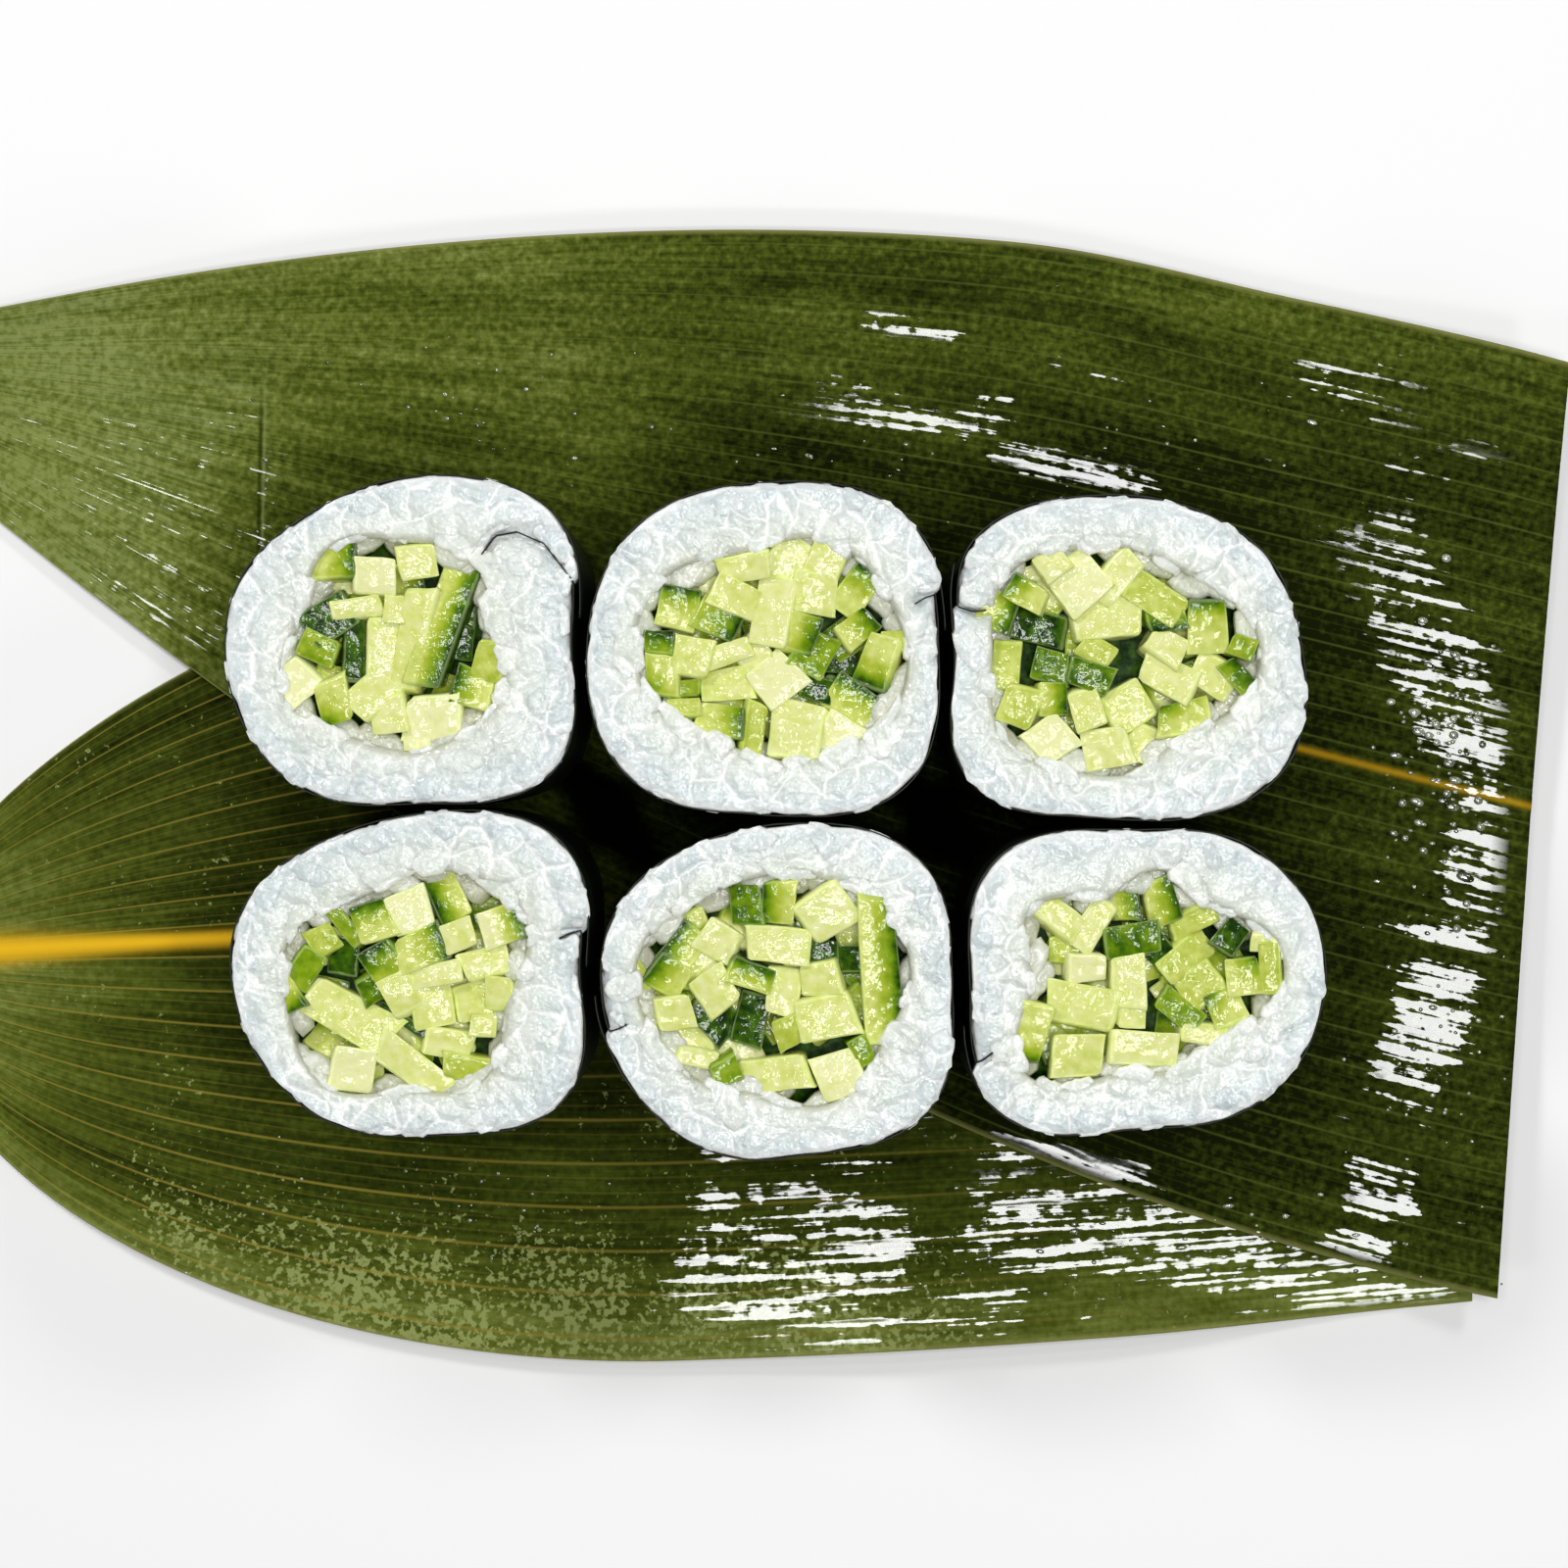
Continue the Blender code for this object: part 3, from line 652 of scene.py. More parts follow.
def rice_material():
    material, tree, shader = new_material("cooked_rice", 0.38)
    body = blend(tree, stored(tree, "across"), (0.52, 0.605, 0.645), (0.67, 0.715, 0.60))
    cloud = rescale(tree, pattern(tree, 600, 2), 0.35, 0.65, -0.14, 0.16)
    # Painted highlight: fine bright specks added to the tone as sparkle.
    painted_sparkle = rescale(tree, pattern(tree, 2400, 1), 0.52, 0.68, 0.0, 0.40)
    tone = sums(tree, "ADD", sums(tree, "ADD", stored(tree, "tone"), cloud), painted_sparkle)
    body = blend(tree, tone, body, (0.86, 0.885, 0.85))
    off_seam = to_seam(tree)
    # Painted highlight: bright lines along the seams of a net of grain-sized cells, standing for light through the
    # grains' edges.
    seams = rescale(tree, off_seam, 0.01, 0.09, 0.85, 0.0)
    seams = sums(tree, "MULTIPLY", seams, rescale(tree, pattern(tree, 170, 1), 0.40, 0.55))
    rim = sums(tree, "MAXIMUM", stored(tree, "rim"), seams)
    # Painted highlight: the stored rim and the seam lines are painted near-white.
    body = blend(tree, rim, body, (0.96, 0.975, 0.94))
    # Painted shade: sunk grains and the ring's inner edge are painted darker.
    body = blend(tree, stored(tree, "deep_painted_shade"), body, (0.40, 0.40, 0.27))
    tree.links.new(body, shader.inputs["Base Color"])
    shader.subsurface_method = "BURLEY"
    shader.inputs["Subsurface Weight"].default_value = 0.5
    shader.inputs["Subsurface Radius"].default_value = (1.0, 0.9, 0.8)
    shader.inputs["Subsurface Scale"].default_value = 0.9 * MM
    shader.inputs["Coat Weight"].default_value = 0.6
    shader.inputs["Coat Roughness"].default_value = 0.10
    pillows = rescale(tree, off_seam, 0.0, 0.30, 0.0, 0.7)
    relief(tree, shader, sums(tree, "ADD", pattern(tree, 1300, 2), pillows), 0.20, 0.9)
    return material


RICE = rice_material()


# %% [markdown]
# ### Cucumber
#
# The skin is dark green, the flesh under it bright green, and the heart pale yellow-green. One
# number, stored on the mesh, says how far a point is from the skin, and a colour ramp turns it
# into that sequence. A film of juice makes everything glint.

# %% Cucumber's material
def cucumber_material(name, gloss):
    material, tree, shader = new_material(name, 0.30)
    flesh = stored(tree, "flesh")
    mottle = rescale(tree, pattern(tree, 1100, 4), 0.3, 0.7, -0.10, 0.10)
    flesh = sums(tree, "ADD", flesh, mottle)
    colour = ramp(
        tree,
        flesh,
        (0.0, (0.006, 0.030, 0.0005)),
        (0.14, (0.050, 0.130, 0.001)),
        (0.32, (0.180, 0.300, 0.004)),
        (0.55, (0.390, 0.475, 0.040)),
        (0.80, (0.640, 0.695, 0.195)),
        (1.0, (0.780, 0.800, 0.400)),
    )
    # Painted highlight: the top edges of each stick are painted lighter.
    rim = sums(tree, "MULTIPLY", stored(tree, "rim"), 0.95)
    painted_edge_light = blend(tree, 1.0, colour, (0.20, 0.24, 0.11), "ADD")
    colour = blend(tree, rim, colour, painted_edge_light)
    tree.links.new(colour, shader.inputs["Base Color"])
    shader.inputs["Specular IOR Level"].default_value = 0.05
    shader.inputs["Coat Weight"].default_value = gloss
    shader.inputs["Coat Roughness"].default_value = 0.05
    lumps = sums(tree, "ADD", pattern(tree, 330, 2), sums(tree, "MULTIPLY", pattern(tree, 1500, 2), 0.14))
    relief(tree, shader, lumps, 0.8, 0.55)
    return material


CUCUMBER = cucumber_material("cucumber_flesh", 0.65)
# Painted shade: the same look without gloss, for the near-black core under the sticks.
CUCUMBER_PAINTED_SHADE = cucumber_material("cucumber_painted_shade", 0.0)


# %% [markdown]
# ## Nori sheets
#
# A real sheet starts inside the rice, comes out at the seam and goes once round until it laps
# over itself. The same line is followed here: a flat grid, long in one direction, is laid along
# the line and stood upright, and Solidify gives it its thickness.

# %% Nori
NORI_THICK = 0.3
NORI_SHEET = 0.12
NORI_BELOW_CUT = 0.3
NORI_LAP = 12
NORI_EASE = 50
GAP = 0.3


def on_circle(degrees, radius):
    turn = np.radians(np.asarray(degrees, float))
    radius = np.asarray(radius, float)
    return np.stack([radius * np.cos(turn), radius * np.sin(turn)], axis=-1)


def nori_line(piece):
    """Points along the sheet's middle, from its inner end to the seam and clockwise round."""
    inner = [on_circle(angle, radius) for angle, radius in reversed(piece["inner_end"])]
    travelled = np.arange(0, 360 + NORI_LAP + 0.1, 2.0)
    angle = piece["seam"] - travelled
    under = (NORI_THICK + GAP) * (1 - smooth(NORI_LAP, NORI_LAP + NORI_EASE, travelled))
    radius = radius_at(piece["nori"], angle) - under - NORI_THICK / 2
    return np.concatenate([inner, on_circle(angle, radius)])


def make_nori(number, piece):
    line = nori_line(piece)
    steps = np.linalg.norm(np.diff(line, axis=0), axis=1)
    run = np.concatenate([[0], np.cumsum(steps)])
    deselect()
    bpy.ops.mesh.primitive_grid_add(x_subdivisions=260, y_subdivisions=22, size=2)
    sheet = bpy.context.object
    sheet.name = f"nori_sheet_{number}"
    shares = points_of(sheet) * MM
    at = (shares[:, 0] + 1) / 2 * run[-1]
    up = (shares[:, 1] + 1) / 2
    x = np.interp(at, run, line[:, 0])
    y = np.interp(at, run, line[:, 1])
    dx = np.interp(at + 0.4, run, line[:, 0]) - np.interp(at - 0.4, run, line[:, 0])
    dy = np.interp(at + 0.4, run, line[:, 1]) - np.interp(at - 0.4, run, line[:, 1])
    length = np.hypot(dx, dy)
    place = np.array(piece["centre"])
    spots = np.stack([x + place[0], y + place[1], up * piece["height"]], axis=1)
    swell = 0.10 * bumps(spots, 4.5) + 0.04 * bumps(spots, 1.6, 7.0)
    rim = 0.10 * bumps(np.stack([at, 0 * at, 0 * at], axis=1), 3.0, number * 9.1)
    within = len(piece["inner_end"])
    below = np.where(at < run[within] - 0.6, 0.02, NORI_BELOW_CUT)
    z = up * (piece["height"] - below + rim)
    points = np.stack(
        [place[0] + x - dy / length * swell, place[1] + y + dx / length * swell, FOOT + z], axis=1
    )
    move_points(sheet, points + SHIFT)
    wall = sheet.modifiers.new("Wall", "SOLIDIFY")
    wall.thickness = NORI_SHEET * MM
    wall.offset = 0
    apply_all(sheet)
    finish_piece(sheet, "nori", NORI, f"nori_{number}")
    return sheet


for number, piece in enumerate(PIECES, start=1):
    sheet = make_nori(number, piece)
print("A nori sheet has", len(sheet.data.polygons), "faces")


# %% [markdown]
# ## Rice
#
# The ring of rice is a sticky mass of grains, cut flat by the knife. In places they are smeared
# into one, and elsewhere each still stands out. It is made in two layers: a ring with a wavy top,
# and the grains themselves, which rise from it where it dips. To make grains that fit
# each other as pressed grains do, their middles are scattered over the ring, no closer than their
# sizes allow. Then each grain grows as a small ellipse until it meets a neighbour, the nori or the
# cucumber.

# %% The ring under the grains
RICE_DEPTH = 0.12
RICE_WAVES = 0.17
RING_SECTION = (
    (0, 0.985), (0.035, 1), (0.15, 1), (0.27, 1), (0.39, 1), (0.51, 1), (0.63, 1), (0.75, 1),
    (0.86, 1), (0.95, 0.997), (1, 0.985), (1, 0.9), (1, 0.5), (1, 0), (0.5, 0), (0, 0), (0, 0.5), (0, 0.9),
)


def rice_edge(piece, degrees):
    """The radius of the nori's inner face at each angle."""
    travelled = (piece["seam"] - np.asarray(degrees, float)) % 360
    under = (NORI_THICK + GAP) * (1 - smooth(NORI_LAP, NORI_LAP + NORI_EASE, travelled))
    return radius_at(piece["nori"], degrees) - under - NORI_THICK / 2 - NORI_SHEET / 2


def inner_sheet(piece):
    """Close points along the part of the nori that turns into the rice, which no grain crosses."""
    line = nori_line(piece)
    last = len(piece["inner_end"]) + 10
    run = np.linspace(0, last, last * 8)
    return np.stack([np.interp(run, np.arange(len(line)), line[:, axis]) for axis in (0, 1)], axis=1)


def make_ring(number, piece):
    deselect()
    bpy.ops.mesh.primitive_torus_add(
        major_segments=180, minor_segments=len(RING_SECTION), major_radius=2, minor_radius=1
    )
    ring = bpy.context.object
    ring.name = f"rice_heart_{number}"
    start = points_of(ring) * MM
    turn = np.degrees(np.arctan2(start[:, 1], start[:, 0]))
    lean = np.arctan2(start[:, 2], np.hypot(start[:, 0], start[:, 1]) - 2)
    corner = np.round(lean / (2 * math.pi / len(RING_SECTION))).astype(int) % len(RING_SECTION)
    section = np.array(RING_SECTION, float)[corner]
    edge = rice_edge(piece, turn)
    ragged = 0.24 * bumps(np.column_stack([on_circle(turn, edge), np.full(len(turn), number)]), 2.2)
    lip = np.maximum(0.06 + ragged, -0.14)
    outer = edge - np.where(section[:, 1] > 0.98, lip, np.maximum(lip, 0.02))
    inner = radius_at(piece["filling"], turn) + 0.3
    flat = on_circle(turn, outer + (inner - outer) * section[:, 0]) + np.array(piece["centre"])
    top = piece["height"] - RICE_DEPTH
    z = FOOT + section[:, 1] * top
    points = np.column_stack([flat, z])
    on_top = section[:, 1] > 0.95
    waves = RICE_WAVES * bumps(points, 5.0, number * 3.7) + 0.03 * bumps(points, 1.1)
    flat = points[:, :2] - np.array(piece["centre"])
    to_sheet = np.linalg.norm(flat[:, None] - inner_sheet(piece)[None], axis=2).min(axis=1)
    points[:, 2] += on_top * (waves - 0.05 * smooth(0.6, 1.0, section[:, 0]) - 0.7 * smooth(1.0, 0.35, to_sheet))
    move_points(ring, points + SHIFT)
    note(ring, "across", section[:, 0])
    note(ring, "tone", 0.16 + 0.25 * bumps(points, 3.2))
    # Painted highlight: the ring's outer edge on top is stored as rim and painted bright.
    note(ring, "rim", on_top * smooth(0.10, 0.0, section[:, 0]))
    # Painted shade on the ring's inner edge, against the cucumber.
    note(ring, "deep_painted_shade", 0.5 * smooth(0.8, 1.0, section[:, 0]))
    finish_piece(ring, "rice", RICE, f"rice_{number}")
    return ring


for number, piece in enumerate(PIECES, start=1):
    make_ring(number, piece)

# %% Scatter the grains' middles
LONG_GRAIN = (2.3, 3.3)
WIDE_GRAIN = (1.15, 1.45)


def grain_cut(rng):
    """Half length, half width and turn from the ring's run, as the knife met the grain."""
    kind = rng.uniform()
    if kind < 0.74:
        return rng.uniform(*LONG_GRAIN), rng.uniform(*WIDE_GRAIN), rng.normal(0, 0.28)
    if kind < 0.97:
        return rng.uniform(1.6, 2.4), rng.uniform(*WIDE_GRAIN), rng.uniform(-1.5, 1.5)
    return rng.uniform(1.15, 1.45), rng.uniform(1.0, 1.25), 0.0


def grain_middles(piece, rng):
    """A row of middles for each grain: x, y, half length, half width, turn and its two spans."""
    rows = (
        # where, how many tries, how close grains may stand
        ("outer", 900, 0.84),
        ("inner", 900, 0.84),
        ("between", 1800, 0.82),
    )
    found = []
    for row, tries, least in rows:
        for _ in range(tries):
            long, short, lean = grain_cut(rng)
            run = math.hypot(long * math.cos(lean), short * math.sin(lean))
            across = math.hypot(long * math.sin(lean), short * math.cos(lean))
            turn = rng.uniform(0, 360)
            low = float(radius_at(piece["filling"], turn)) + across * 0.75
            high = float(rice_edge(piece, turn)) - across * 0.85
            if high < low:
                continue
            share = {"outer": 1 - rng.uniform(0, 0.05), "inner": rng.uniform(-0.06, 0.06)}.get(row, rng.uniform(0, 1))
            spot = on_circle(turn, low + (high - low) * share)
            if found:
                others = np.array(found)
                outward = on_circle(turn, 1.0)
                offset = others[:, :2] - spot
                aside = offset @ np.array([-outward[1], outward[0]])
                away = np.hypot(aside / (others[:, 5] + run), offset @ outward / (others[:, 6] + across))
                if away.min() < least:
                    continue
            found.append((*spot, long, short, math.radians(turn) + math.pi / 2 + lean, run, across))
    return np.array(found)


# %% Grow the grains
GRAIN_TURNS = 22
GRAIN_STEPS = (0.12, 0.13, 0.25)
OVERLAP = 0.60
LIP = 0.19


def grain_reaches(piece, grains, rng):
    """How far each grain reaches from its middle in each of its directions."""
    count = len(grains)
    middles, long, short, turn = grains[:, :2], grains[:, 2], grains[:, 3], grains[:, 4]
    bulge = rng.uniform(-0.05, LIP + 0.15, count)
    overhang = rng.uniform(-0.35, 0.45, count)
    directions = np.arange(GRAIN_TURNS) * 2 * math.pi / GRAIN_TURNS
    steps = np.linspace(0.3, 4.0, 50)
    rays = np.stack([np.cos(directions), np.sin(directions)], axis=1)
    sheet = inner_sheet(piece)

    def spread(offset, index):
        """Distance from the middle of a grain, where 1 is the edge of its ellipse."""
        cos, sin = np.cos(turn[index]), np.sin(turn[index])
        along = (offset[..., 0] * cos + offset[..., 1] * sin) / long[index]
        aside = (offset[..., 1] * cos - offset[..., 0] * sin) / short[index]
        return np.hypot(along, aside)

    def reach_until(blocked):
        first = np.where(blocked.any(axis=1), blocked.argmax(axis=1), len(steps) - 1)
        return steps[np.maximum(first - 1, 0)]

    reaches = np.zeros((count, GRAIN_TURNS))
    for index in range(count):
        near = np.argsort(np.linalg.norm(middles - middles[index], axis=1))[1:12]
        offsets = rays[:, None, :] * steps[None, :, None]
        spots = middles[index] + offsets
        own = spread(offsets, index)
        met = np.zeros(own.shape, bool)
        for other in near:
            met |= own > spread(spots - middles[other], other)
        angle = np.degrees(np.arctan2(spots[..., 1], spots[..., 0]))
        radius = np.hypot(spots[..., 0], spots[..., 1])
        stopped = own > 1.22
        stopped |= np.linalg.norm(spots[:, :, None] - sheet[None, None], axis=3).min(axis=2) < 0.16
        stopped |= radius > rice_edge(piece, angle) + bulge[index]
        stopped |= radius < radius_at(piece["filling"], angle) - overhang[index]
        reach = np.minimum(reach_until(met) + OVERLAP, reach_until(stopped))
        reach = reach + rng.normal(0, 0.06, GRAIN_TURNS)
        reaches[index] = (np.roll(reach, 1) + 3 * reach + np.roll(reach, -1)) / 5
    return reaches


def make_grain_pattern():
    """A low drum with its upper edge stepped in, which the formulas below round off."""
    deselect()
    bpy.ops.mesh.primitive_circle_add(vertices=GRAIN_TURNS, radius=1, fill_type="NGON")
    grain = bpy.context.object
    grain.name = "grain_pattern"
    bpy.ops.object.mode_set(mode="EDIT")
    bpy.ops.mesh.select_all(action="SELECT")
    bpy.ops.mesh.extrude_region_move(TRANSFORM_OT_translate={"value": (0, 0, 1)})
    for step in GRAIN_STEPS:
        bpy.ops.mesh.inset(thickness=step)
    bpy.ops.mesh.select_all(action="SELECT")
    bpy.ops.mesh.normals_make_consistent(inside=False)
    bpy.ops.object.mode_set(mode="OBJECT")
    return grain


def grain_points(drum, middle, reach, top, thick, flatness, lean):
    """The pattern's drum, fitted to the outline that the grain has found, and crowned."""
    turn = np.degrees(np.arctan2(drum[:, 1], drum[:, 0])) % 360
    step = np.round(turn / (360 / GRAIN_TURNS)).astype(int) % GRAIN_TURNS
    out = np.minimum(np.hypot(drum[:, 0], drum[:, 1]), 1.0)
    raised = drum[:, 2] > 0.5
    radius = reach[step] * np.where(raised, out, 0.86)
    x = radius * np.cos(np.radians(turn))
    y = radius * np.sin(np.radians(turn))
    crown = (1 - np.minimum(out, 0.9999) ** 2) ** (flatness / 2)
    z = np.where(raised, crown * thick / 2, -thick / 2)
    z += x * lean[0] + y * lean[1]
    return np.column_stack([middle[0] + x, middle[1] + y, top - thick / 2 + z]), np.where(raised, out, 1.0)


def held_by_nori(piece, points, top):
    """Keeps a grain inside the nori, apart from a lip at the cut that spreads over its rim."""
    angle = np.degrees(np.arctan2(points[:, 1], points[:, 0]))
    radius = np.hypot(points[:, 0], points[:, 1])
    most = rice_edge(piece, angle) + np.where(points[:, 2] > top - 0.6, LIP, -0.03)
    share = np.minimum(1, most / np.maximum(radius, 0.1))
    return np.column_stack([points[:, 0] * share, points[:, 1] * share, points[:, 2]])


def low_grains(piece, rng):
    """Grains that the knife left deeper: they look out from under the ring's inner edge."""
    found = []
    for turn in np.arange(0, 360, 15) + rng.uniform(0, 12, 24):
        radius = float(radius_at(piece["filling"], turn)) - rng.uniform(-0.6, 0.5)
        tangent = math.radians(turn) + math.pi / 2 + rng.normal(0, 0.3)
        directions = np.arange(GRAIN_TURNS) * 2 * math.pi / GRAIN_TURNS - tangent
        long, short = rng.uniform(1.9, 2.8), rng.uniform(1.1, 1.4)
        reach = 1 / np.hypot(np.cos(directions) / long, np.sin(directions) / short)
        found.append((on_circle(turn, radius), reach, rng.uniform(0.7, 1.7)))
    return found


def make_grains(number, piece):
    rng = np.random.default_rng(100 + number)
    found = grain_middles(piece, rng)
    reaches = grain_reaches(piece, found, rng)
    grain = make_grain_pattern()
    drum = points_of(grain) * MM
    grains = [(row[:2], reach, 0.0) for row, reach in zip(found, reaches)]
    sets, painted_rim_lights, tones, acrosses, deep_painted_shades = [], [], [], [], []
    for middle, reach, sunk in grains + low_grains(piece, rng):
        turn = math.degrees(math.atan2(middle[1], middle[0]))
        inner = float(radius_at(piece["filling"], turn))
        outer = float(rice_edge(piece, turn))
        across = np.clip(1 - (math.hypot(*middle) - inner) / (outer - inner), 0, 1)
        dip = rng.uniform(0.12, 0.32) if rng.uniform() < 0.25 else rng.uniform(0.0, 0.12)
        top = piece["height"] + 0.02 - dip - 0.08 * smooth(0.7, 1.0, across) - sunk
        lean = rng.uniform(-0.04, 0.04, 2)
        points, out = grain_points(drum, middle, reach, top, 2.7, rng.uniform(0.20, 0.34), lean)
        points = held_by_nori(piece, points, top)
        points[:, :2] += np.array(piece["centre"])
        points[:, 2] += FOOT
        sets.append(points)
        # Painted highlight: each grain's edge is painted bright, less so on a sunk grain.
        painted_rim_lights.append(smooth(0.66, 0.88, out) * (0.3 if sunk else 1))
        tones.append(np.full(len(drum), rng.uniform(-0.05, 0.32)))
        acrosses.append(np.full(len(drum), across))
        # Painted shade: a sunk grain is painted darker the deeper it lies.
        deep_painted_shades.append(np.full(len(drum), min(0.85, 0.5 * sunk)))
    joined = copies_as_one(f"rice_grains_{number}", grain, sets)
    points = points_of(joined)
    points[:, 2] += 0.05 * bumps(points, 0.8) + 0.05 * bumps(points, 1.9, 3.0)
    points[:, 2] = np.minimum(points[:, 2], FOOT + piece["height"] + 0.12)
    move_points(joined, points + SHIFT)
    note(joined, "rim", np.concatenate(painted_rim_lights))
    note(joined, "tone", np.concatenate(tones))
    note(joined, "across", np.concatenate(acrosses))
    note(joined, "deep_painted_shade", np.concatenate(deep_painted_shades))
    finish_piece(joined, "rice", RICE, f"rice_{number}")
    remove(grain)
    return joined, len(found)


for number, piece in enumerate(PIECES, start=1):
    grains, count = make_grains(number, piece)
    print("Piece", number, "shows", count, "grains in", len(grains.data.polygons), "faces")


# %% [markdown]
# ## Cucumber
#
# Under the sticks lies a near-black core, a painted shade that stands for the shadow one sees
# down the gaps. A stick is a cube with its corners rounded off. Its corners are crowded towards its
# edges, so that the rounding is fine and the flat faces stay cheap.

# %% The core under the sticks
CORE_DEPTH = 3.6


def make_cucumber_core(number, piece):
    deselect()
    bpy.ops.mesh.primitive_circle_add(vertices=90, radius=1, fill_type="NGON")
    core = bpy.context.object
    core.name = f"cucumber_shade_core_{number}"
    bpy.ops.object.mode_set(mode="EDIT")
    bpy.ops.mesh.select_all(action="SELECT")
    bpy.ops.mesh.extrude_region_move(TRANSFORM_OT_translate={"value": (0, 0, 1)})
    bpy.ops.mesh.inset(thickness=0.12)
    bpy.ops.mesh.inset(thickness=0.3)
    bpy.ops.mesh.select_all(action="SELECT")
    bpy.ops.mesh.normals_make_consistent(inside=False)
    bpy.ops.object.mode_set(mode="OBJECT")
    start = points_of(core) * MM
    turn = np.degrees(np.arctan2(start[:, 1], start[:, 0]))
    radius = np.hypot(start[:, 0], start[:, 1]) * (radius_at(piece["filling"], turn) + 0.25)
    flat = on_circle(turn, radius) + np.array(piece["centre"])
    z = FOOT + 0.05 + start[:, 2] * (piece["height"] - CORE_DEPTH)
    move_points(core, np.column_stack([flat, z]) + SHIFT)
    # Painted shade: the core is near-black, standing for the shade down the gaps.
    note(core, "flesh", np.full(len(start), 0.03))
    note(core, "rim", np.zeros(len(start)))
    finish_piece(core, "cucumber", CUCUMBER_PAINTED_SHADE, f"cucumber_{number}")


for number, piece in enumerate(PIECES, start=1):
    make_cucumber_core(number, piece)

# %% The sticks
STICK_CUTS = 4
STICK_ROUND = 0.20
STICK_LENGTH = 6.5


def make_stick_pattern():
    deselect()
    bpy.ops.mesh.primitive_cube_add(size=2)
    stick = bpy.context.object
    stick.name = "stick_pattern"
    bpy.ops.object.mode_set(mode="EDIT")
    bpy.ops.mesh.select_all(action="SELECT")
    bpy.ops.mesh.subdivide(number_cuts=STICK_CUTS)
    bpy.ops.object.mode_set(mode="OBJECT")
    return stick


def stick_points(cube, size, rounding):
    """The pattern's cube at a stick's size, with rounded edges."""
    crowded = np.sign(cube) * (1 - (1 - np.abs(cube)) ** 2.2)
    half = np.array(size) / 2
    points = crowded * half
    core = np.clip(points, -(half - rounding), half - rounding)
    edge = points - core
    length = np.linalg.norm(edge, axis=1, keepdims=True)
    return core + np.where(length > 1e-9, edge / np.maximum(length, 1e-9) * rounding, 0)


def under_sticks(piece, rng):
    """Sticks that stand lower and look out between the listed ones, away from the dark gaps."""
    found = []
    for x in np.arange(-10.5, 11, 3.5):
        for y in np.arange(-9, 9.1, 3.6):
            spot = np.array([x, y]) + rng.uniform(-0.7, 0.7, 2)
            size, turn, pale = rng.uniform(3.2, 4.4, 2), rng.uniform(-45, 45), rng.choice((GREEN, LIME, PALE))
            edge = float(radius_at(piece["filling"], math.degrees(math.atan2(spot[1], spot[0]))))
            room = min(np.hypot(spot[0] - gap[0], spot[1] - gap[1]) - gap[2] for gap in piece["gaps"])
            if np.hypot(*spot) < edge - 1.4 and room > 1.9:
                found.append((*spot, *size, turn, pale, rng.choice((0, 90, 180, 270)), rng.uniform(1.5, 2.4)))
    return found


